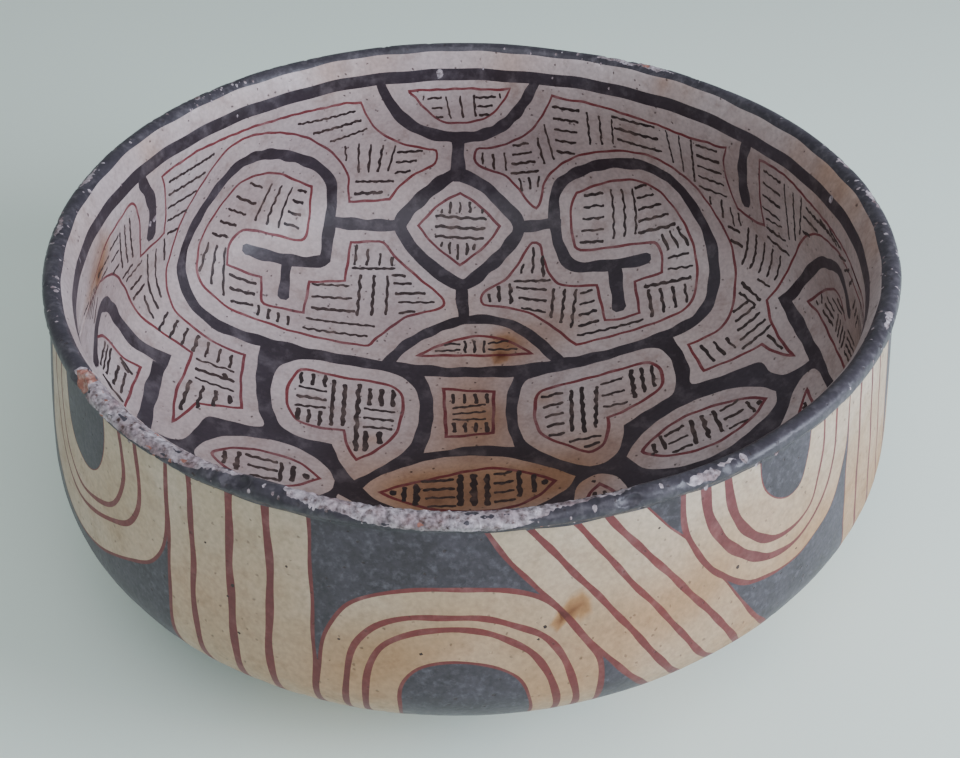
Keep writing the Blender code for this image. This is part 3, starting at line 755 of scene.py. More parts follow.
# Small losses scattered by chance: from and to in degrees, how many, largest size
SCATTER = ((0, 360, 90, 2.0), (160, 205, 46, 2.6), (-30, 22, 40, 2.2), (45, 75, 22, 2.4),
           (205, 300, 24, 1.4), (126, 148, 30, 2.0))
SPECKS = (  # degrees, mm below the neck, size: dark specks outside
    (242.3, 34, 1.5), (241.6, 39, 1.0), (264.5, 45, 1.2), (255.3, 43, 1.0), (278, 36.5, 1.3),
    (277.3, 41, 1.0), (302, 36, 1.7), (238.6, 22, 0.9), (249.2, 20, 0.9), (291, 9, 0.9),
    (312, 44, 1.0), (243, 52, 1.1),
)
print(len(FLAKES) + len(LIP_FLAKES), "flakes and", len(SPECKS), "specks placed by hand")

# %% Dark lip and its losses
LIP_WIDTH = AT_NECK - AT_LIP
LIP_EDGE = 0.8          # the dark paint starts this far inside the roll
RAGGED_STEP = 0.28      # degrees between points along a ragged edge
RAGGED, WAVY = 0.34, 0.45       # mm: how ragged such an edge is, by chance and in waves


def crumbled(stations):
    """A bare band through stations of (degrees, mm inside, mm short of the neck), with ragged edges."""
    at, inner_mm, outer_mm = np.array(stations).T
    count = max(6, round((at[-1] - at[0]) / RAGGED_STEP))
    along = np.linspace(at[0], at[-1], count)
    angle = np.radians(along)
    rough = hand.normal(0, RAGGED, (2, count))
    rough = rough + WAVY * np.sin(np.linspace(0, count / 2.7, count) + [[0], [2]])
    near = AT_LIP - np.interp(along, at, inner_mm) + rough[0]
    far = AT_NECK - np.interp(along, at, outer_mm) + np.minimum(rough[1], 0.3)
    far = np.maximum(far, near + 0.2)
    edges = [polar(side, angle) for side in (near, far)]
    return [np.concatenate((edges[0], edges[1][::-1]))]


def patch(start, end, inner_mm, outer_mm):
    """A short bare stretch: it opens and closes within a fifth of its length."""
    middle, fifth = (inner_mm - (LIP_WIDTH - outer_mm)) / 2, (end - start) / 5
    closed_outer = LIP_WIDTH + middle
    return crumbled(((start, middle, closed_outer), (start + fifth, inner_mm, outer_mm),
                     (end - fifth, inner_mm, outer_mm), (end, middle, closed_outer)))


def on_lip_ring(at, past):
    """The sheet place at an angle in degrees, this many mm past the roll's start."""
    return (AT_LIP + past) * math.cos(math.radians(at)), (AT_LIP + past) * math.sin(math.radians(at))


paint(LIP, [ring(AT_NECK + 0.6, 0.7, 720), ring(AT_LIP - LIP_EDGE, 0.6, 720)[::-1]])
for stations in BARE_BANDS:
    paint(BARE, crumbled(stations))
for stretch in WORN:
    paint(BARE, patch(*stretch))
for stretch in FIRED_SPOTS:
    paint(FIRED, patch(*stretch))
# Islands on the bare bands: old paint, pink clay and dark grit, how many, longest in degrees
for tone, count, longest in ((LIP, 40, 1.8), (FIRED, 12, 0.9), (HATCH, 8, 0.3)):
    for number in range(count):
        start, end = (214, 243) if hand.uniform() < 0.5 else (250, 287)
        at, past = hand.uniform(start, end), hand.uniform(-1.0, LIP_WIDTH)
        half_length = hand.uniform(0.15, longest)
        middle = past + half_length * hand.uniform(-0.5, 0.5)
        line = np.array([on_lip_ring(at - half_length / 2, past), on_lip_ring(at, middle),
                         on_lip_ring(at + half_length / 2, past)])
        paint(tone, stroke(curve(line, step=0.8), hand.uniform(0.4, 1.3), unsteady=0.45, ripple=5.0))
for flake in FLAKES:
    paint(BARE, blob(*flake))
for at, past, size in LIP_FLAKES:
    paint(BARE, blob(*on_lip_ring(at, past), size * FLAKE_GROWTH))
for start, end, count, largest in SCATTER:
    for number in range(count):
        spot = on_lip_ring(hand.uniform(start, end), hand.uniform(-1, LIP_WIDTH + 1.5))
        paint(BARE, blob(*spot, hand.uniform(0.6, largest), 7))
for at, below, size in SPECKS:
    paint(HATCH, outside(blob(at * DEGREE, below, size)))
print(len(layers), "areas in all")

# %% [markdown]
# ## From drawing to mesh
#
# A constrained triangulation cuts the flat sheet along every painted edge, so
# each triangle belongs to one paint. Loose points between the edges let the
# sheet bend later, and they are closest together where the lip is crumbled.

# %% Loose points
FACE_STEP = 5.0         # mm between the loose points on plain wall
LIP_STEP, ROUND_STEP = 0.85, 1.3        # mm between them across the lip and along it
UNDER_STEP = 8.0        # mm between them under the bowl
CRUMB_STEP = 0.6        # mm between them where the clay has crumbled
POLE = AT_END - 2.0     # the sheet's outer edge closes to a small disc under the bowl
POLE_POINTS = 24


def radius_at(far):
    return np.interp(far, reach, section[:, 0])


def height_at(far):
    return np.interp(far, reach, section[:, 1])


def loose_points():
    """Rows of points round the sheet, evenly spaced on the real bowl."""
    # from and to along the section, mm between the rows, mm between points in a row
    zones = ((0.4, AT_LIP - 3, FACE_STEP, FACE_STEP), (AT_LIP - 2.5, AT_NECK + 3, LIP_STEP, ROUND_STEP),
             (AT_NECK + 5, AT_NECK + LOWEST, FACE_STEP, FACE_STEP),
             (AT_NECK + LOWEST, POLE - 3, UNDER_STEP, UNDER_STEP))
    for start, end, apart, step in zones:
        for number, far in enumerate(np.arange(start, end, apart)):
            count = max(6, math.ceil(math.tau * radius_at(far) / step))
            angle = (np.arange(count) + 0.5 * (number % 2)) * math.tau / count
            yield polar(far, angle)
    for number, far in enumerate(np.arange(AT_LIP - 4, AT_NECK + 1, CRUMB_STEP)):
        for stations in BARE_BANDS:
            turns = np.arange(stations[0][0], stations[-1][0], CRUMB_STEP / DEGREE)
            angle = np.radians(turns + number % 2 * CRUMB_STEP / DEGREE / 2)
            yield polar(far, angle)


loose = np.concatenate(list(loose_points()))
print(len(loose), "loose points")

# %% Triangulate the sheet
ROOM = 0.9              # mm: loose points this near to a painted edge are left out
TOLERANCE = 1e-5        # mm: points nearer than this count as one
corners = [loop for _, loops in layers for loop in loops if np.hypot(*loop.T).max() < POLE]
corners.append(ring(POLE, count=POLE_POINTS))
starts = np.cumsum([0] + [len(loop) for loop in corners])
numbers = [np.arange(len(loop)) + start for start, loop in zip(starts, corners)]
edges = np.concatenate([np.stack((n, np.roll(n, -1)), axis=1) for n in numbers])
drawn = np.concatenate(corners)

taken = set()
for dx in (-1, 0, 1):
    for dy in (-1, 0, 1):
        taken.update(map(tuple, np.floor(drawn / ROOM).astype(int) + (dx, dy)))
loose = loose[[tuple(cell) not in taken for cell in np.floor(loose / ROOM).astype(int)]]
spots = np.concatenate((drawn, loose))
cut = delaunay_2d_cdt([Vector(p) for p in spots], edges.tolist(), [], 0, TOLERANCE, False)
sheet_points = np.array([tuple(p) for p in cut[0]])
triangles = np.array([f for f in cut[2] if len(f) == 3])
print(len(sheet_points), "points and", len(triangles), "triangles in the flat sheet")

# %% Give each triangle its paint
def within(loops, spots):
    """Which spots lie inside the loops: those that the loops wind round."""
    turns = np.zeros(len(spots), int)
    for loop in loops:
        for (ax, ay), (bx, by) in zip(loop, np.roll(loop, -1, axis=0)):
            up = (ay <= spots[:, 1]) & (by > spots[:, 1])
            down = (by <= spots[:, 1]) & (ay > spots[:, 1])
            if not (up.any() or down.any()):
                continue
            left = (bx - ax) * (spots[:, 1] - ay) - (spots[:, 0] - ax) * (by - ay)
            turns += (up & (left > 0)).astype(int) - (down & (left < 0)).astype(int)
    return turns != 0


centres = sheet_points[triangles].mean(axis=1)
tones = np.full(len(triangles), CREAM)
for tone, loops in layers:
    lowest = np.min([loop.min(axis=0) for loop in loops], axis=0)
    highest = np.max([loop.max(axis=0) for loop in loops], axis=0)
    near = np.flatnonzero(((centres >= lowest) & (centres <= highest)).all(axis=1))
    if len(near):
        tones[near[within(loops, centres[near])]] = tone
print({name: int((tones == number).sum()) for number, name in enumerate(
    ("cream", "black", "red", "hatch", "buff", "blue-black", "brick", "bare", "foot", "lip", "fired"))})

# %% [markdown]
# ## Materials
#
# All the colours are clay: fine slips and earth paints, burnished with a
# pebble and fired at a low heat, so they are nearly matt and never even. They
# are all made alike, so one function makes them from the few things in which
# they differ. Colours are given as sRGB hex and turned linear.

# %% Node helpers
def linear(colour):
    """An sRGB hex colour as linear red, green, blue and alpha."""
    parts = [int(colour[i:i + 2], 16) / 255 for i in (1, 3, 5)]
    return [p / 12.92 if p <= 0.04045 else ((p + 0.055) / 1.055) ** 2.4 for p in parts] + [1.0]


def add(tree, kind, settings=None, links=None):
    """Add a node, set its properties and give each input a value or a link."""
    made = tree.nodes.new(kind)
    for name, value in (settings or {}).items():
        setattr(made, name, value)
    for name, value in (links or {}).items():
        if isinstance(value, bpy.types.NodeSocket):
            tree.links.new(value, made.inputs[name])
        else:
            made.inputs[name].default_value = value
    return made


def per_metre(millimetres):
    """The scale of a pattern whose repeat has this size."""
    return 1 / (millimetres * MM)


print("cream slip in linear light:", [round(share, 2) for share in linear("#C2B5B3")])

# %% How fired slip and paint look
MOTTLE = 34.0           # mm: clouds in the slip where it went on thick or thin
GRAIN = 1.6             # mm: the clay's grain, drawn a little coarse so that it shows
PIT = 4.3               # mm between the small dark pits
WOBBLE = 1.6            # mm: how far the grain pushes them out of round
GRAIN_DEPTH, PIT_DEPTH = 0.25, 0.4      # mm
GRAIN_STRENGTH, PIT_STRENGTH = 0.35, 0.6
PITS_ABOVE = 0.43       # pits show only where the brush's noise is higher than this
PIT_COLOUR = "#3A2C28"
BRUSH = 9.0             # mm: patches where paint lies thin
# outside, TAN also gives a warm tint that is partly painted light
TAN, BROWN = "#DCB58C", "#9A6630"   # what a light and a heavy stain let through


def between(value, low, high, to_low=0.0, to_high=1.0):
    """Settings that turn a value from low to high into one from to_low to to_high."""
    return {"Value": value, "From Min": low, "From Max": high, "To Min": to_low, "To Max": to_high}


def fired_paint(name, body, cloud, worn, thin=0.35, pits=0.5, stain=0.0, roughness=0.55, coarse=0.15,
                scale=1.0):
    """One earth colour: body and cloud mottle it, and worn shows where it has rubbed thin."""
    material = bpy.data.materials.new(name)
    material.use_nodes = True
    tree = material.node_tree
    shader = tree.nodes["Principled BSDF"]
    place = add(tree, "ShaderNodeTexCoord").outputs["Object"]
    mottle, grain, brush = [add(tree, "ShaderNodeTexNoise", links={
        "Vector": place, "Scale": per_metre(size), "Detail": detail, "Roughness": harshness}).outputs
        for size, detail, harshness in (
            (MOTTLE * scale, 4.0, 0.5), (GRAIN, 3.0, 0.5), (BRUSH * scale, 6.0, 0.65))]

    # The body's colour, then clouds and worn places over it
    colour = linear(body)
    for value, low_end, high_end, most, top in ((mottle["Fac"], 0.35, 0.68, 1.0, cloud),
                                                (brush["Fac"], 0.50, 0.68, thin, worn)):
        share = add(tree, "ShaderNodeMapRange", links=between(value, low_end, high_end, 0.0, most)).outputs[0]
        colour = add(tree, "ShaderNodeMix", {"data_type": "RGBA"},
                     {"Factor": share, 6: colour, 7: linear(top)}).outputs[2]
    tone = add(tree, "ShaderNodeMapRange",
               links=between(grain["Fac"], 0.25, 0.75, 1 - coarse, 1 + coarse)).outputs[0]
    colour = add(tree, "ShaderNodeVectorMath", {"operation": "SCALE"}, {0: colour, "Scale": tone}).outputs[0]

    # Pits, where the brush left enough paint for them to show
    uneven = add(tree, "ShaderNodeVectorMath", {"operation": "MULTIPLY_ADD"},
                 {0: grain["Color"], 1: (WOBBLE * MM,) * 3, 2: place}).outputs[0]
    cells = add(tree, "ShaderNodeTexVoronoi", links={"Vector": uneven, "Scale": per_metre(PIT)})
    pitted = add(tree, "ShaderNodeMapRange", links=between(cells.outputs["Distance"], 0.08, 0.15, pits, 0.0))
    some = add(tree, "ShaderNodeMath", {"operation": "GREATER_THAN"}, {0: brush["Fac"], 1: PITS_ABOVE})
    pitted = add(tree, "ShaderNodeMath", {"operation": "MULTIPLY"},
                 {0: pitted.outputs[0], 1: some.outputs[0]}).outputs[0]
    colour = add(tree, "ShaderNodeMix", {"data_type": "RGBA"},
                 {"Factor": pitted, 6: colour, 7: linear(PIT_COLOUR)}).outputs[2]
    # stains inside, and outside a warm tint that is partly painted light
    if stain:
        told = add(tree, "ShaderNodeAttribute", {"attribute_name": "stain"}).outputs["Fac"]
        for low_end, high_end, tint in ((0, 1, TAN), (0.9, 2, BROWN)):
            share = add(tree, "ShaderNodeMapRange",
                        links=between(told, low_end, high_end, 0, stain)).outputs[0]
            colour = add(tree, "ShaderNodeMix", {"data_type": "RGBA", "blend_type": "MULTIPLY"},
                         {"Factor": share, 6: colour, 7: linear(tint)}).outputs[2]
    tree.links.new(colour, shader.inputs["Base Color"])
    gloss = add(tree, "ShaderNodeMapRange",
                links=between(brush["Fac"], 0.3, 0.7, roughness - 0.08, roughness + 0.10))
    tree.links.new(gloss.outputs[0], shader.inputs["Roughness"])
    shader.inputs["IOR"].default_value = 1.45
    shader.inputs["Specular IOR Level"].default_value = 0.45
    bump = add(tree, "ShaderNodeBump", links={"Strength": GRAIN_STRENGTH, "Distance": GRAIN_DEPTH * MM,
                                              "Height": grain["Fac"]})
    dents = add(tree, "ShaderNodeBump", {"invert": True},
                {"Strength": PIT_STRENGTH, "Distance": PIT_DEPTH * MM, "Height": pitted,
                 "Normal": bump.outputs[0]})
    tree.links.new(dents.outputs[0], shader.inputs["Normal"])
    return material


print("clouds repeat at", MOTTLE, "mm, grain at", GRAIN, "and pits at", PIT)

# %% Eleven slips and paints
paints = (
    # cream slip, burnished: pale pinkish grey, a little stained
    fired_paint("cream_slip", "#C2B5B3", "#B0A09E", "#9A8781", thin=0.6, pits=0.75, stain=1.0,
                roughness=0.44),
    # black earth paint: soft purplish black, thin at the brush's edge
    fired_paint("black_slip_paint", "#342C31", "#423B42", "#776F74", thin=0.42, pits=0.2, stain=0.6,
                roughness=0.42),
    # red ochre in thin lines
    fired_paint("red_ochre_line", "#7B383C", "#6A383E", "#9A7676", thin=0.65, stain=0.6, roughness=0.5),
    # brown-black from a nearly dry brush
    fired_paint("brown_black_hatching", "#2F2626", "#40322F", "#7D6A63", thin=0.5, pits=0.1, stain=0.4),
    # buff slip outside: warmer than inside, most of all low down, partly as painted light
    fired_paint("buff_slip", "#C6B7A4", "#BAA88F", "#A48F7A", thin=0.45, pits=0.45, stain=1.0, roughness=0.44,
                scale=0.7),
    # blue-black slip outside with a pale bloom
    fired_paint("blue_black_slip", "#3B363B", "#474249", "#77747C", thin=0.38, pits=0.6, roughness=0.44,
                coarse=0.28, scale=0.3),
    # red ochre outside, laid thick
    fired_paint("brick_ochre", "#783B3B", "#6A393B", "#936A69", thin=0.5, pits=0.4, stain=0.6, roughness=0.5),
    # bare clay where the lip has crumbled
    fired_paint("bare_crumbled_clay", "#AFA6AA", "#836F71", "#4E3933", thin=0.95, pits=0.6, roughness=0.85,
                coarse=0.6, scale=0.24),
    # the unslipped clay of the foot
    fired_paint("unslipped_foot_clay", "#B08A68", "#A37C5C", "#7F6049", thin=0.5, pits=0.7, roughness=0.75),
    # the dark paint of the lip: rubbed by hands to a soft grey shine
    fired_paint("worn_lip_paint", "#39353B", "#454147", "#7D777B", thin=0.3, pits=0.4, roughness=0.38,
                coarse=0.25, scale=0.45),
    # pinkish orange clay where a chip is fresh
    fired_paint("fired_orange_clay", "#A0695C", "#8D5F52", "#C4AEA5", thin=0.7, pits=0.6, roughness=0.85,
                coarse=0.35, scale=0.3),
)
print([paint_made.name for paint_made in paints])

# %% [markdown]
# ## Bending the sheet onto the bowl
#
# A geometry node tree lifts the flat sheet: it looks up each point's distance
# on the section, turns it by the point's angle, and adds the marks of the hand.
# The mouth is slightly three-cornered and the bowl leans a little. Where the
# clay is bare it is also crumbled, and elsewhere the wall is gently uneven.

# %% The hand's marks, in mm unless said
OVAL, OVAL_AT = 0.5, math.radians(-45)
CORNERS, CORNERS_AT = 1.0, math.radians(5)
LEAN = 0.028            # sideways shift for each unit of height
RIM_TILT = -0.0067      # rise of the rim for each unit along X
UNEVEN, UNEVEN_SIZE = 0.35, 38.0        # how much the wall swells, and over what length
CRUMB, CRUMB_SIZE = 1.3, 1.8    # the same for the grit of crumbled clay
# Stretches where the lip is worn down: from and to in degrees, depth
LOW_STRETCHES = ((213, 245, 2.4), (249, 288, 1.6), (291, 312, 0.7), (60, 84, 0.7))
far = np.hypot(*sheet_points.T)
angle = np.arctan2(sheet_points[:, 1], sheet_points[:, 0])
on_lip = np.clip((height_at(far) - HEIGHT + NECK_DROP) / NECK_DROP, 0, None)
worn_down = np.zeros(len(far))
for start, end, depth in LOW_STRETCHES:
    share = np.clip((np.degrees(angle) % 360 - start) / (end - start), 0, 1)
    worn_down += depth * np.sin(math.pi * share) ** 1.3 * on_lip
# Bareness is 1 within bare clay and a half at its edge: the mean of the next two
bareness = np.zeros(len(far))
is_bare = np.repeat(((tones == BARE) | (tones == FIRED)).astype(float), 3)
np.maximum.at(bareness, triangles.ravel(), is_bare)
covered = np.ones(len(far))
np.minimum.at(covered, triangles.ravel(), is_bare)
print("the lip is worn by up to", round(worn_down.max(), 1), "mm")

# %% Stains: x, y on the sheet, size, strength
STAINS = (
    (-36, -8, 24, 0.6), (-8, -10, 26, 0.6), (18, -8, 24, 0.6), (42, -5, 20, 0.6), (-14, -9, 12, 0.35),
    (2, 30, 20, 0.55), (2, 50, 16, 0.35), (12, 36, 12, 0.25), (14, 72, 15, 0.45), (26, 78, 14, 0.45),
    (-10, 72, 14, 0.25), (18, 79, 5, 0.6), (16.5, 70.5, 2.6, 1.5), (45, 84, 14, 0.3), (-3, 98, 12, 0.25),
    (35, 45, 5, 0.5), (62, 10, 16, 0.3), (78, 30, 22, 0.2), (-50, 12, 10, 0.2), (-39, 21, 3, 0.5),
    (-202, 38, 8, 0.7), (-197, 28, 5, 1.4), (-200, 14, 8, 0.7), (-206, 26, 12, 0.4),
    (228, 22, 12, 0.5), (226, 44, 13, 0.55), (220, 66, 13, 0.5), (209, 92, 13, 0.35), (229, 0, 12, 0.4),
    (232, -20, 12, 0.4), (150, 176, 12, 0.25), (135, 186, 7, 0.4), (-95, 208, 12, 0.3), (-200, 105, 10, 0.35),
    (-60, 222, 16, 0.25), (30, 226, 14, 0.25), (185, 60, 22, 0.2), (185, -10, 22, 0.25),
)
# An even tint, a little cloudy, and then the stains
stain = 0.10 + 0.08 * np.sin(sheet_points[:, 0] / 21) * np.sin(sheet_points[:, 1] / 17 + 1)
for x, y, size, strength in STAINS:
    stain += strength * np.exp(-((sheet_points[:, 0] - x) ** 2 + (sheet_points[:, 1] - y) ** 2) / size ** 2)
# Outside, the slip is warmer low down and towards the right, in cloudy patches. This is partly the slip's own
# colour and partly painted light: paler under the lip as a painted sheen, and warmer on the right as painted
# light from that side
below_neck = far - AT_NECK
warmth_and_painted_light = np.interp(below_neck, (-4, 6, 42), (0.1, 0.22, 0.8))
patches = 0.15 * np.sin(5 * angle + 1) * np.sin(below_neck / 13)
warmth_and_painted_light *= 1 + patches + 0.14 * np.sin(13 * angle + below_neck / 9)
warmth_and_painted_light *= 0.62 + 0.38 * np.cos(angle - math.radians(320))
stain = np.where(below_neck > -6, warmth_and_painted_light, stain)
# One amber drop outside, with a dark edge: degrees, mm below the neck, size, strength
AMBER = ((281.6, 30.6, 3.4, 1.1), (280.8, 32.8, 2.4, 0.9), (279.6, 33.6, 1.6, 2.6))
for at, below, size, strength in AMBER:
    drop_x = (angle % math.tau - math.radians(at)) * RIM_RADIUS
    stain += strength * np.exp(-((drop_x / size) ** 2 + ((below_neck - below) / size) ** 2) ** 1.5)
print(len(STAINS), "stains inside, and the strongest stain is", round(stain.max(), 1))

# %% The flat sheet and the section line as objects
sheet = bpy.data.meshes.new("painted_sheet")
flat = np.concatenate((sheet_points * MM, np.zeros((len(sheet_points), 1))), axis=1)
rim_numbers = np.flatnonzero(far > POLE - 0.01)
rim_numbers = rim_numbers[np.argsort(-angle[rim_numbers])]
sheet.from_pydata(flat.tolist(), [], triangles.tolist() + [rim_numbers.tolist()])
tones = np.append(tones, FOOT)
for name, kind, domain, values in (("worn_down", "FLOAT", "POINT", worn_down * MM),
                                   ("bare", "FLOAT", "POINT", (bareness + covered) / 2),
                                   ("stain", "FLOAT", "POINT", np.clip(stain, 0, 2)),
                                   ("tone", "INT", "FACE", tones)):
    sheet.attributes.new(name, kind, domain).data.foreach_set("value", values)
bowl = bpy.data.objects.new("painted_bowl", sheet)
bpy.context.scene.collection.objects.link(bowl)

line = bpy.data.curves.new("section_line", "CURVE")
line.dimensions = "3D"
spline = line.splines.new("POLY")
spline.points.add(len(section) - 1)
for point, (radius, height) in zip(spline.points, section):
    point.co = (radius * MM, 0, height * MM, 1)
section_line = bpy.data.objects.new("section_line", line)
bpy.context.scene.collection.objects.link(section_line)
print("sheet of", len(sheet.polygons), "faces, section of", len(section), "points")

# %% Inputs of the tree that bends the sheet
lift = bpy.data.node_groups.new("bend_sheet_onto_bowl", "GeometryNodeTree")
sockets = {}
lift.interface.new_socket("Geometry", in_out="INPUT", socket_type="NodeSocketGeometry")
for name, value in (("Rim radius", RIM_RADIUS * MM), ("Height", HEIGHT * MM), ("Oval", OVAL * MM),
                    ("Oval angle", OVAL_AT), ("Corners", CORNERS * MM), ("Corner angle", CORNERS_AT),
                    ("Lean", LEAN), ("Rim tilt", RIM_TILT), ("Unevenness", UNEVEN * MM),
                    ("Unevenness size", UNEVEN_SIZE * MM), ("Crumb depth", CRUMB * MM),
                    ("Crumb size", CRUMB_SIZE * MM)):
    socket = lift.interface.new_socket(name, in_out="INPUT", socket_type="NodeSocketFloat")
    sockets[name] = (socket.identifier, value)
section_socket = lift.interface.new_socket("Section line", in_out="INPUT", socket_type="NodeSocketObject")
lift.interface.new_socket("Geometry", in_out="OUTPUT", socket_type="NodeSocketGeometry")
print([socket.name for socket in lift.interface.items_tree])

# %% Where the tree puts each point
# Sums in the order in which they are made: result, operation, first and second value
PLACE_SUMS = (
    ("turn", "ARCTAN2", "flat Y", "flat X"),
    ("from oval", "SUBTRACT", "turn", "Oval angle"), ("two turns", "MULTIPLY", "from oval", 2.0),
    ("oval wave", "COSINE", "two turns"), ("oval bulge", "MULTIPLY", "oval wave", "Oval"),
    ("from corner", "SUBTRACT", "turn", "Corner angle"), ("three turns", "MULTIPLY", "from corner", 3.0),
    ("corner wave", "COSINE", "three turns"), ("corner bulge", "MULTIPLY", "corner wave", "Corners"),
    ("bulge", "ADD", "oval bulge", "corner bulge"), ("growth", "DIVIDE", "bulge", "Rim radius"),
    ("stretch", "ADD", "growth", 1.0), ("wide", "MULTIPLY", "section X", "stretch"),
    ("cosine", "COSINE", "turn"), ("sine", "SINE", "turn"), ("true X", "MULTIPLY", "section X", "cosine"),
    ("raised X", "MULTIPLY", "true X", "section Z"), ("sloped", "MULTIPLY", "raised X", "Rim tilt"),
    ("tilt", "DIVIDE", "sloped", "Height"), ("lowered", "SUBTRACT", "section Z", "worn_down"),
    ("upright X", "MULTIPLY", "wide", "cosine"), ("shift", "MULTIPLY", "section Z", "Lean"),
    ("X", "ADD", "upright X", "shift"), ("Y", "MULTIPLY", "wide", "sine"), ("Z", "ADD", "lowered", "tilt"),
    ("slow scale", "DIVIDE", 1.0, "Unevenness size"), ("quick scale", "DIVIDE", 1.0, "Crumb size"),
)
# Sockets by name: the tree's inputs, the sheet's attributes, the places and each result
known = dict(add(lift, "NodeGroupInput").outputs.items())
for name, kind in (("worn_down", "FLOAT"), ("bare", "FLOAT"), ("tone", "INT")):
    known[name] = add(lift, "GeometryNodeInputNamedAttribute", {"data_type": kind},
                      {"Name": name}).outputs["Attribute"]
place = add(lift, "GeometryNodeInputPosition").outputs[0]
distance = add(lift, "ShaderNodeVectorMath", {"operation": "LENGTH"}, {0: place}).outputs["Value"]
line_info = add(lift, "GeometryNodeObjectInfo", links={"Object": known["Section line"]})
looked_up = add(lift, "GeometryNodeSampleCurve", {"mode": "LENGTH"},
                {"Curves": line_info.outputs["Geometry"], "Length": distance})
for where, spot in (("flat", place), ("section", looked_up.outputs["Position"])):
    for axis, socket in add(lift, "ShaderNodeSeparateXYZ", links={0: spot}).outputs.items():
        known[where + " " + axis] = socket
for name, operation, *values in PLACE_SUMS:
    known[name] = add(lift, "ShaderNodeMath", {"operation": operation},
                      {slot: known.get(value, value) for slot, value in enumerate(values)}).outputs[0]
moved = add(lift, "ShaderNodeCombineXYZ", links={axis: known[axis] for axis in "XYZ"}).outputs[0]
bent = add(lift, "GeometryNodeSetPosition",
           links={"Geometry": known["Geometry"], "Position": moved}).outputs[0]
print(len(PLACE_SUMS), "sums place each point")

# %% Uneven wall, crumbled clay and paint
# How far each point moves outwards: the wall swells, and bare clay crumbles mostly inwards
PUSH_SUMS = (
    ("slow wave", "SUBTRACT", "slow", 0.5), ("swell", "MULTIPLY", "slow wave", "Unevenness"),
    ("quick wave", "SUBTRACT", "quick", 0.62), ("crumble", "MULTIPLY", "quick wave", "Crumb depth"),
    ("bare crumble", "MULTIPLY", "crumble", "bare"), ("both", "ADD", "swell", "bare crumble"),
    ("push", "MULTIPLY", "both", 2.0),
)
for name, scale, detail, harshness in (("slow", "slow scale", 1.0, 0.5), ("quick", "quick scale", 3.0, 0.6)):
    known[name] = add(lift, "ShaderNodeTexNoise", links={
        "Vector": place, "Scale": known[scale], "Detail": detail, "Roughness": harshness}).outputs["Fac"]
for name, operation, *values in PUSH_SUMS:
    known[name] = add(lift, "ShaderNodeMath", {"operation": operation},
                      {slot: known.get(value, value) for slot, value in enumerate(values)}).outputs[0]
normal = add(lift, "GeometryNodeInputNormal").outputs[0]
push = add(lift, "ShaderNodeVectorMath", {"operation": "SCALE"},
           {0: normal, "Scale": known["push"]}).outputs[0]
worked = add(lift, "GeometryNodeSetPosition", links={"Geometry": bent, "Offset": push}).outputs[0]
worked = add(lift, "GeometryNodeSetShadeSmooth", links={"Geometry": worked}).outputs[0]
shape = add(lift, "GeometryNodeRealizeInstances", links={"Geometry": worked}).outputs[0]
for number, material in enumerate(paints):
    chosen = add(lift, "FunctionNodeCompare", {"data_type": "INT", "operation": "EQUAL"},
                 {2: known["tone"], 3: number}).outputs[0]
    shape = add(lift, "GeometryNodeSetMaterial", links={"Geometry": shape, "Selection": chosen,
                                                        "Material": material}).outputs[0]
add(lift, "NodeGroupOutput", links={0: shape})
print("the tree has", len(lift.nodes), "nodes")

# %% Bend the sheet and keep the result
bender = bowl.modifiers.new("Bend sheet", "NODES")
bender.node_group = lift
for identifier, value in sockets.values():
    bender[identifier] = value
bender[section_socket.identifier] = section_line
bpy.context.view_layer.update()
evaluated = bowl.evaluated_get(bpy.context.evaluated_depsgraph_get())
mesh = bpy.data.meshes.new_from_object(evaluated)
mesh.name = "painted_bowl"
bowl.modifiers.remove(bender)
bowl.data = mesh
bpy.data.meshes.remove(sheet)
bpy.data.objects.remove(section_line)
while None in mesh.materials[:]:
    mesh.materials.pop(index=mesh.materials[:].index(None))
print("the bowl has", len(mesh.vertices), "points,", len(mesh.polygons), "faces and",
      len(mesh.materials), "paints")

# %% [markdown]
# ## Chips, smooth shading and a map
#
# Chips are bitten out of the lip by round-ended hollows. Thin triangles along
# the painted edges would spoil the shading, so every point takes the mean
# direction of its faces by area, in which thin ones hardly count. A flat map
# gives the inside most of the room.

# %% Chips
CHIP_REACH = 12         # mm: a chip touches nothing farther above or below the roll
CHIPS = (   # angle in degrees, height on the roll in degrees, length, width, depth
    (215.5, 20, 13.0, 7.0, 3.0), (243.0, 60, 11.0, 6.0, 2.0), (287.0, 40, 9.0, 5.0, 1.6),
    (302.0, 55, 7.0, 4.5, 1.5), (61.0, 90, 10.0, 4.5, 1.4),
)
places = np.empty(len(mesh.vertices) * 3)
mesh.vertices.foreach_get("co", places)
places = places.reshape(-1, 3) / MM
for at, up, length, width, depth in CHIPS:
    out_way = np.array((math.cos(math.radians(at)), math.sin(math.radians(at)), 0))
    round_way = np.array((-out_way[1], out_way[0], 0))
    raise_angle = math.radians(up)
    deep = out_way * math.cos(raise_angle) + np.array((0, 0, math.sin(raise_angle)))
    wide_way = np.cross(round_way, deep)
    middle = out_way * roll[0] + np.array((LEAN * roll[1], 0, roll[1] + RIM_TILT * roll[0] * out_way[0]))
    hollow = middle + deep * (LIP_RADIUS - depth + width / 2)
    axes = np.stack((round_way * 2 / length, wide_way * 2 / width, deep * 2 / width), axis=1)
    local = (places - hollow) @ axes
    distance = np.hypot(np.hypot(local[:, 0], local[:, 1]), local[:, 2])
    inside_it = (distance < 1) & (np.abs(places[:, 2] - roll[1]) < CHIP_REACH)
    floor_of_it = -np.sqrt(np.clip(1 - local[:, 0] ** 2 - local[:, 1] ** 2, 0, 1))
    places[inside_it] += ((floor_of_it - local[:, 2]) * width / 2)[inside_it, None] * deep
mesh.vertices.foreach_set("co", (places * MM).ravel())
mesh.update()
print(len(CHIPS), "chips")

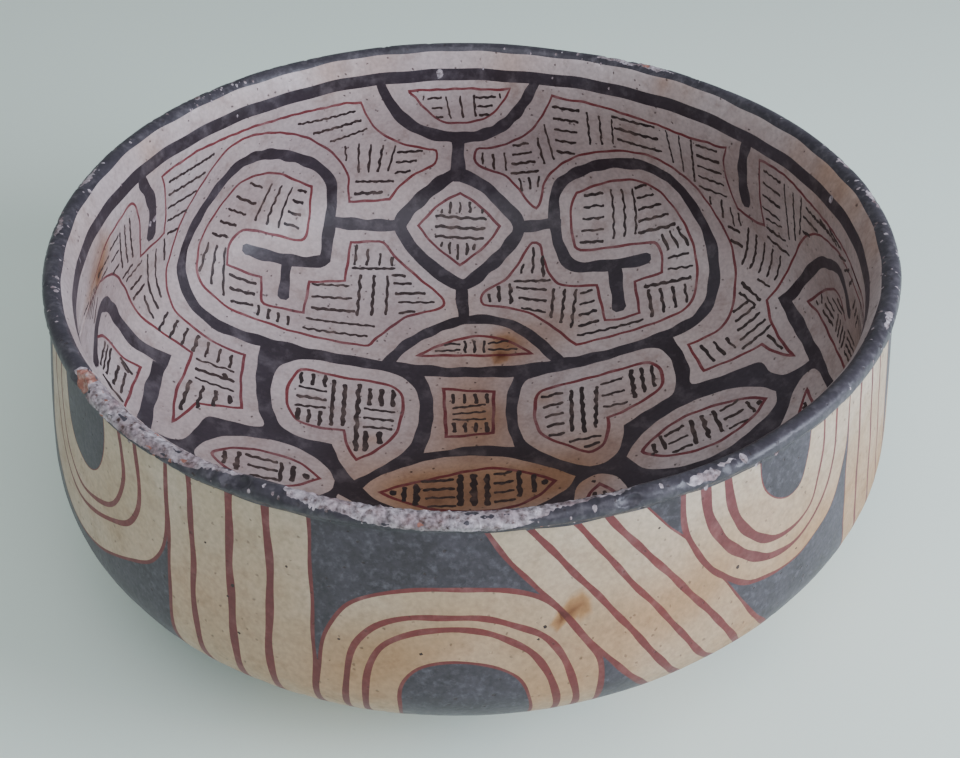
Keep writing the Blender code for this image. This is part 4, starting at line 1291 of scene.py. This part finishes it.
# %% Smooth shading
corner_numbers = np.empty(len(mesh.loops), int)
mesh.loops.foreach_get("vertex_index", corner_numbers)
three = np.array([p.vertices[:] for p in mesh.polygons if len(p.vertices) == 3])
across_face = np.cross(places[three[:, 1]] - places[three[:, 0]], places[three[:, 2]] - places[three[:, 0]])
directions = np.zeros_like(places)
for corner in range(3):
    np.add.at(directions, three[:, corner], across_face)
directions /= np.maximum(np.linalg.norm(directions, axis=1), TINY)[:, None]
under = places[:, 2] < 0.05
directions[under] = (0, 0, -1)
mesh.normals_split_custom_set_from_vertices(directions.tolist())
print(len(directions), "points have a direction")

# %% A flat map
INSIDE_SHARE = 0.76     # of the map's width for the inside
MARGIN = 0.005          # of the map, kept free round each piece
atlas = mesh.uv_layers.new(name="OFBake")
turn_share = (angle % math.tau) / math.tau
depth_share = np.clip((far - AT_LIP) / (AT_BASE - AT_LIP), 0, 1)


def on_map(numbers, left_half, inner_face, foot_face):
    """Map places of one face's corners."""
    x, y = sheet_points[numbers].T
    if inner_face:
        return 0.5 * INSIDE_SHARE * (1 + x / AT_LIP * 0.99), 0.5 * INSIDE_SHARE * (1 + y / AT_LIP * 0.99)
    if foot_face:
        middle = 0.5 * (1 + INSIDE_SHARE)
        size = 0.5 * (1 - INSIDE_SHARE) * 0.98 * (AT_END - far[numbers]) / (AT_END - AT_BASE)
        return middle + size * np.cos(angle[numbers]), middle + size * np.sin(angle[numbers])
    along = turn_share[numbers] * 2 - left_half
    along = np.where(along > 1.25, along - 2, np.where(along < -0.25, along + 2, along))
    along = along * INSIDE_SHARE * 0.98 + MARGIN
    down = INSIDE_SHARE + MARGIN + depth_share[numbers] * (1 - INSIDE_SHARE) * 0.97
    return (along, down) if left_half else (down, along)


spots_on_map = np.zeros((len(mesh.loops), 2))
for face in mesh.polygons:
    numbers = np.array(face.vertices[:])
    away = far[numbers].mean()
    seen_turn = math.atan2(*sheet_points[numbers].mean(axis=0)[::-1]) % math.tau
    u, v = on_map(numbers, int(seen_turn >= math.pi), away < AT_LIP, away > AT_BASE)
    spots_on_map[face.loop_start:face.loop_start + face.loop_total] = np.stack((u, v), axis=1)
atlas.data.foreach_set("uv", np.clip(spots_on_map, 0, 1).ravel())
print("map ready")

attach(bowl, "root")
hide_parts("bowl")

# %% [markdown]
# ## Camera, light and floor
#
# The camera looks down into the bowl. A plain pale floor and broad soft lights
# from above and from the right keep the paint easy to read.

# %% Camera
CAMERA_AT = (3.67, -426.9, 401.9)       # mm
YAW, PITCH, ROLL = math.radians(0.4244), math.radians(38.72), math.radians(-0.718)
FOCAL_MM = 52.78
NEAREST = 0.01          # m
look = Vector((math.sin(YAW) * math.cos(PITCH), math.cos(YAW) * math.cos(PITCH), -math.sin(PITCH)))
level = Vector((math.cos(YAW), -math.sin(YAW), 0))
lifted = level.cross(look)
right = math.cos(ROLL) * level + math.sin(ROLL) * lifted
up = math.cos(ROLL) * lifted - math.sin(ROLL) * level
camera_data = bpy.data.cameras.new("camera")
camera_data.lens = FOCAL_MM
camera_data.clip_start = NEAREST
camera = bpy.data.objects.new("camera", camera_data)
bpy.context.scene.collection.objects.link(camera)
turned = Matrix((right, up, -look)).transposed().to_4x4()
turned.translation = Vector(CAMERA_AT) * MM
camera.matrix_world = turned
bpy.context.scene.camera = camera
print("camera at", [round(v, 3) for v in camera.location])

# %% Floor
FLOOR_HALF = 4.0        # m from the middle to each side
FLOOR_GAP = 0.0003      # m: the floor lies this much lower, so that it never cuts the foot
floor_mesh = bpy.data.meshes.new("floor")
floor_mesh.from_pydata([(FLOOR_HALF * x, FLOOR_HALF * y, 0) for x, y in ((-1, -1), (1, -1), (1, 1), (-1, 1))],
                       [], [(0, 1, 2, 3)])
floor_object = bpy.data.objects.new("floor", floor_mesh)
bpy.context.scene.collection.objects.link(floor_object)
floor_object.location.z = -FLOOR_GAP
floor_paint = bpy.data.materials.new("matt_floor")
floor_paint.use_nodes = True
floor_shader = floor_paint.node_tree.nodes["Principled BSDF"]
floor_shader.inputs["Base Color"].default_value = linear("#EFFCEE")
floor_shader.inputs["Roughness"].default_value = 0.9
floor_mesh.materials.append(floor_paint)
print("a floor", 2 * FLOOR_HALF, "m wide")

# %% Lights
WORLD_COLOUR, WORLD_STRENGTH = "#DCE6EE", 0.40


def soft_light(name, place, target, size, power, colour):
    """A square soft light at a place in metres that faces a target."""
    data = bpy.data.lights.new(name, "AREA")
    data.size = size
    data.energy = power
    data.color = linear(colour)[:3]
    lamp = bpy.data.objects.new(name, data)
    bpy.context.scene.collection.objects.link(lamp)
    lamp.location = place
    lamp.rotation_euler = (Vector(target) - Vector(place)).to_track_quat("-Z", "Y").to_euler()


soft_light("from_right", (1.0, -0.40, 0.54), (0, 0, 0.07), 0.6, 18, "#E4ECFF")
soft_light("overhead_front", (0.10, -0.85, 1.32), (0, 0, 0.05), 1.1, 10, "#F2F3FF")
soft_light("from_left", (-1.3, -0.4, 0.8), (0, 0, 0.05), 1.0, 2.4, "#E0F2EC")
world = bpy.data.worlds.new("pale_sky")
bpy.context.scene.world = world
world.use_nodes = True
sky = world.node_tree.nodes["Background"].inputs
sky["Color"].default_value = linear(WORLD_COLOUR)
sky["Strength"].default_value = WORLD_STRENGTH
print(len(bpy.data.lights), "lights")
